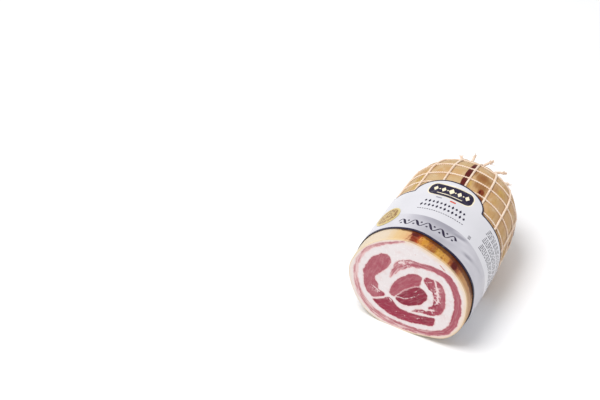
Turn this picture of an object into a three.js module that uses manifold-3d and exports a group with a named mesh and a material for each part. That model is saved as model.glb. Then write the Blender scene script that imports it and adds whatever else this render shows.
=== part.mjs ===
// Rolled pancetta, cut across: one cut end that shows the roll, one natural rounded end,
// a string net drawn over the rind and a printed film band round the middle.
//
// Frame: millimetres, +Z up, +Y from the cut end to the rounded end. The group is shifted at the
// end so that the origin is the middle of the object's footprint, on the surface it lies on.
// The shape is worked out first in the roll's own frame: y = 0 at the middle of the cut face,
// x = 0 on the roll's axis, z = 0 on the surface. Angles turn from +X towards +Z.

import * as THREE from 'three';
import { mergeVertices } from 'three/addons/utils/BufferGeometryUtils.js';
import Module from 'manifold-3d';

const wasm = await Module();
wasm.setup();

// Driving dimensions of the roll. The envelope is the outside of the whole parcel: the bare rind
// at the cut end, and the strings and the band behind it.
const ROLL_LENGTH = 187;
const AXIS_HEIGHT = 57.5;
const CUT_RADII = [ // of the cut face's uneven outline, evenly spaced round the axis from +X
  64.9, 67.3, 66.2, 63.4, 63.3, 60.9, 60.6, 62.7, 67, 67.7, 67.9, 63, 57.7, 57.7, 63.4, 64.7,
];
const HALF_WIDTH = 68;
const HALF_HEIGHT = 58.5;
const SQUARENESS = 2.14; // 2 is an ellipse, more is boxier
const CUT_SHAPE_REACH = 60; // how far the cut end's own outline carries into the roll
const WIDTH_TAPER = 0.128; // share of the width lost at the rounded end
const AXIS_DRIFT = { x: -2, z: 1.3 }; // where the axis ends at the rounded end
const END_DEPTH = 60; // length of the rounded end
const END_POWER = 2.2;
const CUT_YAW = THREE.MathUtils.degToRad(-3.2); // the cut isn't quite square to the roll
const CUT_YAW_REACH = 30;

// The rind lies inside the envelope behind the band's near edge, and swells between the strings
const RIND_INSET = 2;
const RIND_PRESSED = 0.5; // at the band's near edge
const PILLOW_HEIGHT = 1.6;
const PILLOW_START = [72, 88];

// Heights that the flattened underside keeps above the surface
const FLOOR = { rind: 2.5, rindPressed: 1, stringInner: 1.9, stringUnderBand: 1.2 };

// Net: long double strings and single ring strings. Ring strings under the band don't show and
// are left out.
const LONG_STRINGS = 15;
const LONG_PHASE = 6.4;
const RING_FIRST = 92.3;
const RING_PITCH = 16.8;
const RINGS = 6;
const RING_LEAN = { size: 3.5, at: 335, from: 84, length: 75 }; // the middle rings sit askew
const LONG_WIDTH = 2.4;
const RING_WIDTH = 1.5;
const STRING_INNER = -1.5;
const STRING_OUTER = -0.2;
const STRING_TOP_SHARE = 0.62; // a string is narrower on top than where it lies
const STRING_START = 9.5; // behind the band's near edge
const LOOSE_END = { shortest: 8, longest: 16, bend: 0.85, taper: 0.72, steps: 2, gap: 0.3 };

// Printed film band with an arched tab
const BAND_INNER = 0.25;
const BAND_OUTER = 0.65;
const BAND_NEAR = { middle: 15, lean: 6.5, leanAt: 160 };
const BAND_FAR = { middle: 85, rise: 4 };
const ARCH = { at: 87, halfWidth: 38, height: 21, power: 2.2 };
const BAND_ROWS = 3;

// Round foil seal on the band
const SEAL = { at: 135, y: 44.3, radius: 14.2, gap: 0.3, thickness: 0.4, spokes: 20 };

// Lean meat on the cut face: outlines in the roll's own x and z, each followed along the roll
const LEAN_GAP = 0.3;
const RAISE = 0.8; // the outlines below were measured from 0.8 mm under the surface
const SPIRAL_CENTRE = [0, 58];
// turn angle in degrees, distance from the centre, width of the band of meat
const SPIRAL = [
  [96, 59.6, 1.4], [105, 56.8, 2.2], [117, 55, 2.8], [134, 55.6, 3.8], [151, 57.1, 3.6],
  [166, 58.1, 3.8], [183, 59.2, 4.6], [198, 59.8, 5.2], [212, 60.8, 6.2], [226, 60, 7.2],
  [244, 56.8, 7.8], [262, 53.3, 7.3], [284, 52.9, 6.5], [304, 55.1, 6.4], [318, 57.6, 6.9],
  [333, 57.6, 7.3], [350, 55.5, 8], [376, 55.4, 8], [397, 54.4, 8.3], [408, 50, 7.2],
  [422, 42.9, 6.8], [437, 37, 7], [452, 33.6, 8.6], [465, 30, 10.8], [477, 26.8, 9],
  [490, 23.4, 6], [508, 21.4, 3.4], [523, 20.9, 1.2],
];
const MUSCLES = {
  lean_left: {
    colour: 0xbb6a70,
    outline: [[-20, 90.5], [-25, 93], [-31.5, 90.5], [-37.5, 86], [-43, 79], [-47, 71], [-50, 62], [-50.5, 52],
      [-48.5, 41], [-44.5, 33.5], [-39, 29.3], [-33.5, 31], [-28.3, 34.2], [-24.5, 37.8], [-26, 40.6],
      [-32.3, 42], [-33.3, 49], [-37, 57], [-31.5, 65], [-25, 73], [-21.5, 80]],
  },
  lean_bottom: {
    colour: 0xa2455a,
    outline: [[-38.5, 26], [-33, 28.7], [-28, 31.8], [-24, 35.3], [-20.5, 37.3], [-16.5, 35.8], [-13, 32.3],
      [-9, 29], [-3, 27.8], [4, 27.2], [13, 28.8], [24, 31.4], [31.8, 33], [32.3, 30.5], [29.7, 21.8], [22, 19],
      [12, 16], [2, 14.2], [-9, 13.6], [-20, 15.2], [-29, 18.8], [-36, 23]],
  },
  lean_eye: {
    colour: 0xb05a6e,
    outline: [[-15, 40.3], [-19.3, 42.5], [-19.5, 49], [-16.5, 57.5], [-11, 66.5], [-4, 74.5], [3, 80],
      [10, 81.8], [15, 80], [14, 74.5], [12, 68], [7, 64.8], [0.5, 59.2], [-6, 52.3], [-11.5, 45]],
  },
  lean_core: {
    colour: 0x8f2f49,
    outline: [[-12.3, 40.5], [-11, 43.5], [-5.5, 50.8], [1.5, 58.2], [8, 63.8], [13.5, 66.3], [19, 64],
      [22.3, 59], [22, 54], [18, 47.5], [11, 40.5], [4, 36.8], [-3, 35.3], [-9, 36], [-12, 38]],
  },
  lean_right: {
    colour: 0xa94a60,
    outline: [[17, 79], [20, 82.8], [26, 83], [32, 82.8], [37.5, 78.5], [41, 70], [42, 60], [41.3, 50],
      [38, 42.5], [33, 38], [29.5, 35.6], [21, 34], [13, 32.3], [6, 30.3], [11, 35], [17, 38.3], [22.5, 38.3],
      [24.5, 40.5], [24, 45], [28, 50], [29, 57], [27.5, 65], [22, 69.5], [18.5, 74]],
  },
};
const OUTLINE_SPACING = 3; // between the points of a muscle's outline
const SPIRAL_STEPS = 3;
const LEAN_STATIONS = [0, 60, 135, 172]; // from the cut; the meat ends hidden inside the rounded end
const END_DRAW = 1.4; // how much sooner than the rind the meat narrows there
const AROUND = 45; // sides of the rind, three for each gap between long strings

const rad = THREE.MathUtils.degToRad;
const lerp = THREE.MathUtils.lerp;
const clamp = THREE.MathUtils.clamp;
const smooth = THREE.MathUtils.smoothstep;

// Smooth value of an evenly spaced closed list at a fractional index
function closedSpline(list, at) {
  const n = list.length;
  const i = Math.floor(at);
  const t = at - i;
  const [a, b, c, d] = [-1, 0, 1, 2].map((k) => list[(((i + k) % n) + n) % n]);
  return b + 0.5 * t * (c - a + t * (2 * a - 5 * b + 4 * c - d + t * (3 * (b - c) + d - a)));
}

function cutRadius(angle) {
  return closedSpline(CUT_RADII, (angle / (2 * Math.PI)) * CUT_RADII.length);
}

function bodyRadius(angle) {
  const across = Math.abs(Math.cos(angle) / HALF_WIDTH) ** SQUARENESS;
  const up = Math.abs(Math.sin(angle) / HALF_HEIGHT) ** SQUARENESS;
  return (across + up) ** (-1 / SQUARENESS);
}

function widthShare(y) {
  return 1 - WIDTH_TAPER * (clamp(y, 0, ROLL_LENGTH) / ROLL_LENGTH) ** 1.5;
}

// Middle of the section at y
function axisAt(y) {
  const share = (y / ROLL_LENGTH) ** 2;
  return { x: AXIS_DRIFT.x * share, z: AXIS_HEIGHT + AXIS_DRIFT.z * share };
}

function sectionRadius(y, angle) {
  return lerp(bodyRadius(angle), cutRadius(angle), Math.exp(-Math.max(y, 0) / CUT_SHAPE_REACH));
}

function endShare(y) {
  const along = clamp((y - (ROLL_LENGTH - END_DEPTH)) / END_DEPTH, 0, 1);
  return (1 - along ** END_POWER) ** (1 / END_POWER);
}

// The envelope before the underside is flattened
function base(y, angle) {
  const r = sectionRadius(y, angle) * endShare(y);
  const axis = axisAt(y);
  return new THREE.Vector3(axis.x + r * Math.cos(angle) * widthShare(y), y, axis.z + r * Math.sin(angle));
}

function slopes(y, angle) {
  const step = 0.01;
  const round = base(y, angle + step).sub(base(y, angle - step)).divideScalar(2 * step);
  const along = base(y + step, angle).sub(base(y - step, angle)).divideScalar(2 * step);
  return { round, along };
}

function outward(y, angle) {
  const { round, along } = slopes(y, angle);
  return round.cross(along).normalize().negate();
}

function offset(y, angle, distance, floor) {
  const normal = outward(Math.min(y, ROLL_LENGTH - 1), angle);
  const point = base(y, angle);
  if (normal.dot(new THREE.Vector3(Math.cos(angle), 0, Math.sin(angle))) < 0) normal.negate();
  point.addScaledVector(normal, distance);
  point.z = Math.max(point.z, floor);
  return point;
}

function bandNear(angle) {
  return BAND_NEAR.middle + BAND_NEAR.lean * Math.cos(angle - rad(BAND_NEAR.leanAt));
}

function bandFar(angle) {
  let degrees = THREE.MathUtils.radToDeg(angle) % 360;
  if (degrees < 0) degrees += 360;
  const across = Math.abs(degrees - ARCH.at) / ARCH.halfWidth;
  const arch = across < 1 ? ARCH.height * (1 - across ** ARCH.power) ** (1 / ARCH.power) : 0;
  return BAND_FAR.middle + BAND_FAR.rise * Math.sin(angle) + arch;
}

function lastRing() {
  return RING_FIRST + RING_PITCH * (RINGS - 1);
}

// How far a ring string at y is pushed along the roll at an angle
function ringLean(y, angle) {
  const share = clamp((y - RING_LEAN.from) / RING_LEAN.length, 0, 1);
  return RING_LEAN.size * Math.cos(angle - rad(RING_LEAN.at)) * Math.sin(Math.PI * share);
}

function pillow(y, angle) {
  const level = y - ringLean(y - ringLean(y, angle), angle);
  const across = Math.abs(Math.sin((angle - rad(LONG_PHASE)) * (LONG_STRINGS / 2)));
  const along = Math.abs(Math.sin((Math.PI * (level - RING_FIRST)) / RING_PITCH));
  const shown = smooth(y, ...PILLOW_START) * (1 - smooth(y, lastRing() - 2, lastRing()));
  return PILLOW_HEIGHT * shown * (across * along) ** 0.7;
}

function rindPoint(y, angle) {
  const behind = y - bandNear(angle);
  const pressed = smooth(behind, -3, -1);
  const inset = smooth(behind, 2, 9);
  const distance = -lerp(RIND_PRESSED * pressed, RIND_INSET, inset) + pillow(y, angle);
  return offset(y, angle, distance, lerp(FLOOR.rindPressed * pressed, FLOOR.rind, inset));
}

// Closed mesh helper: collects points and faces, and turns faces outward at the end
class Shell {
  constructor() {
    this.points = [];
    this.faces = [];
  }

  point(p) {
    this.points.push(p.clone());
    return this.points.length - 1;
  }

  quad(a, b, c, d) {
    this.faces.push([a, b, c], [a, c, d]);
  }

  // Joins two rings of the same number of points
  join(from, to) {
    from.forEach((a, i) => {
      const next = (i + 1) % from.length;
      this.quad(a, from[next], to[next], to[i]);
    });
  }

  geometry() {
    const volume = this.faces.reduce((sum, [a, b, c]) => {
      const [p, q, r] = [a, b, c].map((i) => this.points[i]);
      return sum + p.dot(q.clone().cross(r));
    }, 0);
    const faces = volume < 0 ? this.faces.map(([a, b, c]) => [a, c, b]) : this.faces;
    const geometry = new THREE.BufferGeometry();
    const numbers = this.points.flatMap((p) => p.toArray());
    geometry.setAttribute('position', new THREE.Float32BufferAttribute(numbers, 3));
    geometry.setIndex(faces.flat());
    return geometry;
  }
}

function toSolid(geometry) {
  const merged = mergeVertices(geometry, 1e-5);
  return new wasm.Manifold(new wasm.Mesh({
    numProp: 3,
    vertProperties: new Float32Array(merged.attributes.position.array),
    triVerts: new Uint32Array(merged.index.array),
  }));
}

function toGeometry(solid) {
  const mesh = solid.getMesh();
  const geometry = new THREE.BufferGeometry();
  geometry.setAttribute('position', new THREE.BufferAttribute(new Float32Array(mesh.vertProperties), 3));
  geometry.setIndex(new THREE.BufferAttribute(new Uint32Array(mesh.triVerts), 1));
  return geometry;
}

function flatCap(shell, ring, plane, flip) {
  const triangles = THREE.ShapeUtils.triangulateShape(plane, []);
  triangles.forEach(([a, b, c]) => {
    const face = [ring[a], ring[b], ring[c]];
    shell.faces.push(flip ? face.reverse() : face);
  });
}

// Stations along the rind. Those near the band's near edge run parallel to it.
function rindStations() {
  const list = [{ y: 0, slant: 0 }];
  [-3, -1, 2, 9].forEach((behind) => list.push({ y: BAND_NEAR.middle + behind, slant: 1 }));
  list.push({ y: 46, slant: 0.4 }, { y: 68, slant: 0 });
  const half = RING_PITCH / 2;
  for (let y = RING_FIRST - half; y < lastRing() - 0.1; y += half) list.push({ y, slant: 0 });
  [0, 4.5, 8].forEach((beyond) => list.push({ y: lastRing() + beyond, slant: 0 }));
  return list;
}

function rind() {
  const shell = new Shell();
  const rings = rindStations().map(({ y, slant }) => {
    const ring = [];
    for (let i = 0; i < AROUND; i += 1) {
      const angle = rad(LONG_PHASE) + (2 * Math.PI * i) / AROUND;
      const along = y + slant * (bandNear(angle) - BAND_NEAR.middle) + ringLean(y, angle);
      const point = rindPoint(along, angle);
      point.y += point.x * Math.tan(CUT_YAW) * (1 - smooth(y, 0, CUT_YAW_REACH));
      ring.push(shell.point(point));
    }
    return ring;
  });
  rings.slice(1).forEach((ring, i) => shell.join(rings[i], ring));
  flatCap(shell, rings[0], rings[0].map((i) => new THREE.Vector2(shell.points[i].x, shell.points[i].z)), true);
  const axis = axisAt(ROLL_LENGTH);
  const pole = shell.point(new THREE.Vector3(axis.x, ROLL_LENGTH - RIND_INSET, axis.z));
  const end = rings[rings.length - 1];
  end.forEach((a, i) => shell.faces.push([a, end[(i + 1) % end.length], pole]));
  return shell.geometry();
}

// A point of the cut face followed along the roll as the section changes
function follow(x, z, y) {
  const angle = Math.atan2(z - AXIS_HEIGHT, x);
  const inset = RIND_INSET * smooth(y, 0, BAND_NEAR.middle);
  const share = ((sectionRadius(y, angle) - inset) / sectionRadius(0, angle)) * endShare(y) ** END_DRAW;
  const axis = axisAt(y);
  return new THREE.Vector3(axis.x + x * share * widthShare(y), y, axis.z + (z - AXIS_HEIGHT) * share);
}

function spiralOutline() {
  const at = (k) => {
    const i = clamp(Math.floor(k), 0, SPIRAL.length - 2);
    const t = k - i;
    return [0, 1, 2].map((c) => {
      const [a, b, d, e] = [-1, 0, 1, 2].map((n) => SPIRAL[clamp(i + n, 0, SPIRAL.length - 1)][c]);
      return b + 0.5 * t * (d - a + t * (2 * a - 5 * b + 4 * d - e + t * (3 * (b - d) + e - a)));
    });
  };
  const centre = (k) => {
    const [turn, r] = at(k);
    const [x, z] = SPIRAL_CENTRE;
    return new THREE.Vector2(x + r * Math.cos(rad(turn)), z + r * Math.sin(rad(turn)));
  };
  const sides = [[], []];
  const count = (SPIRAL.length - 1) * SPIRAL_STEPS;
  for (let n = 0; n <= count; n += 1) {
    const k = n / SPIRAL_STEPS;
    const ahead = centre(Math.min(k + 0.05, SPIRAL.length - 1)).sub(centre(Math.max(k - 0.05, 0))).normalize();
    const side = new THREE.Vector2(-ahead.y, ahead.x).multiplyScalar(at(k)[2] / 2);
    sides[0].push(centre(k).add(side));
    sides[1].unshift(centre(k).sub(side));
  }
  return [...sides[0], ...sides[1]];
}

function muscleOutline(points) {
  const corners = points.map(([x, z]) => new THREE.Vector3(x, 0, z));
  const curve = new THREE.CatmullRomCurve3(corners, true, 'centripetal');
  const list = curve.getSpacedPoints(Math.round(curve.getLength() / OUTLINE_SPACING));
  return list.slice(0, -1).map((p) => new THREE.Vector2(p.x, p.z));
}

// Moves the sides of an outline outward, keeping its corners sharp
function grow(outline, distance) {
  const turn = Math.sign(THREE.ShapeUtils.area(outline));
  return outline.map((p, i) => {
    const before = outline[(i + outline.length - 1) % outline.length];
    const after = outline[(i + 1) % outline.length];
    const [from, to] = [[before, p], [p, after]].map(([a, b]) => {
      const ahead = b.clone().sub(a).normalize();
      return new THREE.Vector2(ahead.y * turn, -ahead.x * turn);
    });
    const middle = from.clone().add(to).normalize();
    const reach = distance / Math.max(middle.dot(from), 0.3);
    return p.clone().addScaledVector(middle, reach);
  });
}

// A lean muscle from the cut face to its hidden end, or with extra length at both ends
function strand(outline, extra = 0) {
  const shell = new Shell();
  const stations = extra > 0 ? [-extra, ...LEAN_STATIONS] : LEAN_STATIONS;
  const rings = stations.map((y, i) => outline.map((p) => {
    const point = follow(p.x, p.y + RAISE, Math.max(y, 0));
    point.y = y + (y <= 0 ? p.x * Math.tan(CUT_YAW) : 0);
    if (i === stations.length - 1) point.y += extra;
    return shell.point(point);
  }));
  rings.slice(1).forEach((ring, i) => shell.join(rings[i], ring));
  const turn = THREE.ShapeUtils.area(outline) > 0;
  flatCap(shell, rings[0], outline, turn);
  flatCap(shell, rings[rings.length - 1], outline, !turn);
  return toSolid(shell.geometry());
}

// Angles round the band, closer together at the foot of the arch
function bandAngles() {
  const list = [];
  const rest = 360 - 2 * ARCH.halfWidth;
  const plain = 32;
  const arched = 18;
  for (let i = 0; i < plain; i += 1) list.push(ARCH.at + ARCH.halfWidth + (rest * i) / plain);
  for (let i = 0; i < arched; i += 1) {
    list.push(ARCH.at + 360 - ARCH.halfWidth * Math.cos((Math.PI * i) / arched));
  }
  return list.map(rad);
}

function band() {
  const shell = new Shell();
  const angles = bandAngles();
  const layer = (distance, floor) => {
    const rows = [];
    for (let row = 0; row <= BAND_ROWS; row += 1) {
      rows.push(angles.map((angle) => {
        const y = lerp(bandNear(angle), bandFar(angle), row / BAND_ROWS);
        return shell.point(offset(y, angle, distance, floor));
      }));
    }
    return rows;
  };
  const outer = layer(BAND_OUTER, 0);
  const inner = layer(BAND_INNER, BAND_OUTER - BAND_INNER);
  for (let row = 0; row < BAND_ROWS; row += 1) {
    shell.join(outer[row], outer[row + 1]);
    shell.join(inner[row + 1], inner[row]);
  }
  shell.join(inner[0], outer[0]);
  shell.join(outer[BAND_ROWS], inner[BAND_ROWS]);
  return shell.geometry();
}

function seal() {
  const shell = new Shell();
  const centreAngle = rad(SEAL.at);
  const radius = slopes(SEAL.y, centreAngle).round.length();
  const place = (r, turn, height) => offset(
    SEAL.y + r * Math.sin(turn),
    centreAngle - (r * Math.cos(turn)) / radius,
    BAND_OUTER + SEAL.gap + height,
    0,
  );
  const layer = (height) => {
    const rings = [0.5, 1].map((share) => Array.from({ length: SEAL.spokes }, (_, i) =>
      shell.point(place(SEAL.radius * share, (2 * Math.PI * i) / SEAL.spokes, height))));
    return { middle: shell.point(place(0, 0, height)), rings };
  };
  const top = layer(SEAL.thickness);
  const under = layer(0);
  top.rings[0].forEach((a, i, ring) => shell.faces.push([top.middle, a, ring[(i + 1) % ring.length]]));
  under.rings[0].forEach((a, i, ring) => shell.faces.push([under.middle, ring[(i + 1) % ring.length], a]));
  shell.join(top.rings[1], top.rings[0]);
  shell.join(under.rings[1], top.rings[1]);
  shell.join(under.rings[0], under.rings[1]);
  return shell.geometry();
}

// Four corners of a string's section at one place: outer left, outer right, inner right, inner left.
// alongRing says which way the string runs; the section lies across it.
function stringCorners(y, angle, shift, across, width) {
  const { round, along } = slopes(y, angle);
  const corner = (side, depth, share) => {
    const sideways = side * share * (width / 2);
    const dy = (across === 'round' ? shift : sideways) / along.length();
    const da = (across === 'round' ? sideways : shift) / round.length();
    return stringPoint(y + dy, angle + da, depth);
  };
  return [
    corner(-1, 'outer', STRING_TOP_SHARE),
    corner(1, 'outer', STRING_TOP_SHARE),
    corner(1, 'inner', 1),
    corner(-1, 'inner', 1),
  ];
}

function stringPoint(y, angle, depth) {
  if (depth === 'inner') return offset(y, angle, STRING_INNER, FLOOR.stringInner);
  return offset(y, angle, STRING_OUTER, y < bandFar(angle) + 3 ? FLOOR.stringUnderBand : 0);
}

// A crossing of a long string and a ring string: eight corners that all four arms share
function hub(shell, y, angle) {
  const { round, along } = slopes(y, angle);
  const corners = {};
  [['outer', STRING_TOP_SHARE], ['inner', 1]].forEach(([depth, share]) => {
    [[-1, -1], [1, -1], [1, 1], [-1, 1]].forEach(([a, b]) => {
      const point = stringPoint(
        y + (b * share * (RING_WIDTH / 2)) / along.length(),
        angle + (a * share * (LONG_WIDTH / 2)) / round.length(),
        depth,
      );
      corners[`${depth}${a}${b}`] = shell.point(point);
    });
  });
  const c = corners;
  shell.quad(c['outer-1-1'], c['outer1-1'], c.outer11, c['outer-11']);
  shell.quad(c['inner-1-1'], c['inner-11'], c.inner11, c['inner1-1']);
  return {
    near: [c['outer-1-1'], c['outer1-1'], c['inner1-1'], c['inner-1-1']],
    far: [c['outer-11'], c.outer11, c.inner11, c['inner-11']],
    low: [c['outer-1-1'], c['outer-11'], c['inner-11'], c['inner-1-1']],
    high: [c['outer1-1'], c.outer11, c.inner11, c['inner1-1']],
  };
}

// Runs a string from one section through others to the last; backwards turns its faces
function run(shell, sections, backwards) {
  sections.slice(1).forEach((to, i) => {
    if (backwards) shell.join(to, sections[i]);
    else shell.join(sections[i], to);
  });
}

function endCap(shell, section, backwards) {
  const [a, b, c, d] = section;
  if (backwards) shell.quad(a, d, c, b);
  else shell.quad(a, b, c, d);
}

// The loose ends differ in length by a rule, the longest near the top
function looseLength(j) {
  const share = 0.5 + 0.5 * Math.sin(j - 1.43);
  return lerp(LOOSE_END.shortest, LOOSE_END.longest, share);
}

function looseEnd(shell, y, angle, j, start) {
  const normal = outward(y, angle);
  const { round, along } = slopes(y, angle);
  const ahead = along.normalize();
  const sideways = round.normalize();
  const root = stringPoint(y, angle, 'inner').lerp(stringPoint(y, angle, 'outer'), 0.5);
  const length = looseLength(j);
  const bend = -LOOSE_END.bend * Math.max(0, Math.sin(0.9 * (j - 0.2)));
  const sections = [start];
  for (let n = 1; n <= LOOSE_END.steps; n += 1) {
    const t = n / LOOSE_END.steps;
    const centre = root.clone()
      .addScaledVector(ahead, RING_WIDTH / 2 + length * t * (0.7 - 0.25 * t))
      .addScaledVector(normal, length * 0.75 * t ** 1.4)
      .addScaledVector(sideways, length * bend * t * t);
    const size = lerp(1, LOOSE_END.taper, t);
    const up = normal.clone().addScaledVector(ahead, -0.9 * t).normalize();
    const corner = (a, b, share) => shell.point(centre.clone()
      .addScaledVector(sideways, (a * share * size * LONG_WIDTH) / 2)
      .addScaledVector(up, (b * size * (STRING_OUTER - STRING_INNER)) / 2));
    const top = [corner(-1, 1, STRING_TOP_SHARE), corner(1, 1, STRING_TOP_SHARE)];
    sections.push([...top, corner(1, -1, 1), corner(-1, -1, 1)]);
  }
  run(shell, sections, false);
  endCap(shell, sections[sections.length - 1], false);
}

function ringAt(i, angle) {
  const y = RING_FIRST + RING_PITCH * i;
  return y + ringLean(y, angle);
}

function longAt(j) {
  return rad(LONG_PHASE + (360 * j) / LONG_STRINGS);
}

function longSections(shell, j, stations) {
  return stations.map((y) => stringCorners(y, longAt(j), 0, 'round', LONG_WIDTH).map((p) => shell.point(p)));
}

// One ring string with its crossings
function ringString(shell, i) {
  const hubs = Array.from({ length: LONG_STRINGS }, (_, j) => hub(shell, ringAt(i, longAt(j)), longAt(j)));
  hubs.forEach((here, j) => {
    const angle = longAt(j + 0.5);
    const middle = stringCorners(ringAt(i, angle), angle, 0, 'along', RING_WIDTH).map((p) => shell.point(p));
    run(shell, [here.high, middle, hubs[(j + 1) % LONG_STRINGS].low], true);
  });
  return hubs;
}

// The net from under the band up to the last ring string but one, where its long strings reach
// almost to the last
function net() {
  const shell = new Shell();
  const rings = Array.from({ length: RINGS - 1 }, (_, i) => ringString(shell, i));
  for (let j = 0; j < LONG_STRINGS; j += 1) {
    const angle = longAt(j);
    const start = bandNear(angle) + STRING_START;
    const under = longSections(shell, j, [83, 52, start]);
    run(shell, [rings[0][j].near, ...under], true);
    endCap(shell, under[under.length - 1], true);
    rings.slice(1).forEach((next, i) => {
      const halfway = (ringAt(i, angle) + ringAt(i + 1, angle)) / 2;
      const between = halfway > ROLL_LENGTH - END_DEPTH ? longSections(shell, j, [halfway]) : [];
      run(shell, [rings[i][j].far, ...between, next[j].near], false);
    });
    const end = ringAt(RINGS - 1, angle) - RING_WIDTH / 2 - LOOSE_END.gap;
    const last = longSections(shell, j, [(ringAt(RINGS - 2, angle) + end) / 2, end]);
    run(shell, [rings[RINGS - 2][j].far, ...last], false);
    endCap(shell, last[1], false);
  }
  return shell.geometry();
}

// The last ring string with the cut ends of the long strings
function netEnds() {
  const shell = new Shell();
  const hubs = ringString(shell, RINGS - 1);
  hubs.forEach((here, j) => {
    endCap(shell, here.near, true);
    looseEnd(shell, ringAt(RINGS - 1, longAt(j)), longAt(j), j, here.far);
  });
  return shell.geometry();
}

function material(colour, roughness, metalness = 0) {
  return new THREE.MeshStandardMaterial({ color: colour, roughness, metalness });
}

const group = new THREE.Group();

function add(name, geometry, look) {
  geometry.computeVertexNormals();
  const mesh = new THREE.Mesh(geometry, look);
  mesh.name = name;
  group.add(mesh);
}

const rindSolid = toSolid(rind());
const outlines = { lean_spiral: spiralOutline() };
Object.entries(MUSCLES).forEach(([name, muscle]) => {
  outlines[name] = muscleOutline(muscle.outline);
});

let fat = rindSolid;
Object.entries(outlines).forEach(([name, outline]) => {
  const look = material(name in MUSCLES ? MUSCLES[name].colour : 0xc07a80, 0.45);
  add(name, toGeometry(strand(outline)), look);
  fat = fat.subtract(strand(grow(outline, LEAN_GAP), LEAN_GAP));
});
add('roll_fat', toGeometry(fat), material(0xe6cfa6, 0.5));
add('net', net(), material(0xf0dcb8, 0.85));
add('net_ends', netEnds(), material(0xf0dcb8, 0.85));
add('band', band(), material(0xd9dadf, 0.35));
add('seal', seal(), material(0xc9a35a, 0.4, 0.5));

const box = new THREE.Box3().setFromObject(group);
group.position.set(-(box.min.x + box.max.x) / 2, -(box.min.y + box.max.y) / 2, -box.min.z);
group.updateMatrixWorld(true);

export default group;
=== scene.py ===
# %% [markdown]
# # Half a rolled pancetta
# Pancetta is salted pork belly, rolled up tight and tied. Here a roll was cut across, so one end is
# flat and shows lean meat turning in white fat, and the other end is the roll's own rounded one.
# Outside lie the browned rind, a string net and a printed band of film with a round foil seal.
#
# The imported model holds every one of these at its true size. This lesson opens it and then makes
# each piece again with the fine shape and the finish that the plain solids leave out.

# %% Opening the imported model
import itertools
import math

import bmesh
import bpy
import numpy as np
from mathutils import Matrix, Vector
from mathutils.geometry import delaunay_2d_cdt


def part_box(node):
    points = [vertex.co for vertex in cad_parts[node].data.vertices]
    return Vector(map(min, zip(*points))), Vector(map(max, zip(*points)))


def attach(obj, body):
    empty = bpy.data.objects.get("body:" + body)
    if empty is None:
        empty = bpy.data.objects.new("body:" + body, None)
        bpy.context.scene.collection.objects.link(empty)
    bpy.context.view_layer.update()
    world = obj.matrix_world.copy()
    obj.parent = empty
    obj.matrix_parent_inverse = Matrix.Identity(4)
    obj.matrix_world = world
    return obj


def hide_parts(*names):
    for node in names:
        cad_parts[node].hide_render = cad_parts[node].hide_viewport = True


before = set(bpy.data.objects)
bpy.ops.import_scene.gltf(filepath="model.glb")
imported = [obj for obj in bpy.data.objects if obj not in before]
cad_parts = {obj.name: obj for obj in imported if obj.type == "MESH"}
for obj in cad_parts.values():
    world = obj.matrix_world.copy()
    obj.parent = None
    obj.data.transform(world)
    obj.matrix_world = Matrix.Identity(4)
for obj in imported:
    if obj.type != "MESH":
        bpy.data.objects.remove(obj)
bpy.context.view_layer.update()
print("packed nodes:", sorted(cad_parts))

# %% [markdown]
# ## The roll's own shape
# Every piece lies on one surface, the outside of the whole parcel. It is easiest to describe in the
# roll's own frame, in millimetres: y runs from the cut face to the rounded end, and an angle turns
# round the roll from the right-hand side over the top. The cut face has an uneven outline of its
# own, which fades into a plain rounded section, and the far end closes like a squared-off dome.
# Written as functions on whole arrays, the same few sizes then place rind, strings, film and seal.

# %% Sizes of the roll
MM = 0.001
ROLL_LENGTH = 187
AXIS_HEIGHT = 57.5
CUT_RADII = np.array([
    64.9, 67.3, 66.2, 63.4, 63.3, 60.9, 60.6, 62.7, 67, 67.7, 67.9, 63, 57.7, 57.7, 63.4, 64.7])
HALF_WIDTH = 68
HALF_HEIGHT = 58.5
SQUARENESS = 2.14
CUT_SHAPE_REACH = 60
WIDTH_TAPER = 0.128
AXIS_DRIFT = (-2, 1.3)  # across and up, over the whole length
END_DEPTH = 60
END_POWER = 2.2
CUT_SLOPE = math.tan(math.radians(-3.2))
CUT_YAW_REACH = 30


def blend(a, b, share):
    return a + (b - a) * share


def smooth(value, low, high):
    """0 at the low value, 1 at the high one, with a soft start and end."""
    t = np.clip((value - low) / (high - low), 0, 1)
    return t * t * (3 - 2 * t)


def bent(a, b, c, d, t):
    """A smooth curve from b to c, steered by the values before and after them."""
    return b + 0.5 * t * (c - a + t * (2 * a - 5 * b + 4 * c - d + t * (3 * (b - c) + d - a)))


def round_points(turn):
    """Points on a circle of radius 1."""
    return np.stack([np.cos(turn), np.sin(turn)], axis=1)


def cut_radius(angle):
    at = np.asarray(angle) / (2 * np.pi) * len(CUT_RADII)
    i = np.floor(at).astype(int)
    return bent(*(CUT_RADII[(i + k) % len(CUT_RADII)] for k in (-1, 0, 1, 2)), at - i)


def section_radius(y, angle):
    across = np.abs(np.cos(angle) / HALF_WIDTH) ** SQUARENESS
    up = np.abs(np.sin(angle) / HALF_HEIGHT) ** SQUARENESS
    body = (across + up) ** (-1 / SQUARENESS)
    return blend(body, cut_radius(angle), np.exp(-np.maximum(y, 0) / CUT_SHAPE_REACH))


def width_share(y):
    return 1 - WIDTH_TAPER * (np.clip(y, 0, ROLL_LENGTH) / ROLL_LENGTH) ** 1.5


def end_share(y):
    """How the section closes along the rounded end."""
    along = np.clip((y - (ROLL_LENGTH - END_DEPTH)) / END_DEPTH, 0, 1)
    return (1 - along ** END_POWER) ** (1 / END_POWER)


def dome_rows(count):
    """Places along the rounded end, closer together towards its pole."""
    turn = np.linspace(0, math.pi / 2, count)
    return ROLL_LENGTH - END_DEPTH * (1 - np.sin(turn) ** (2 / END_POWER))


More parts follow.
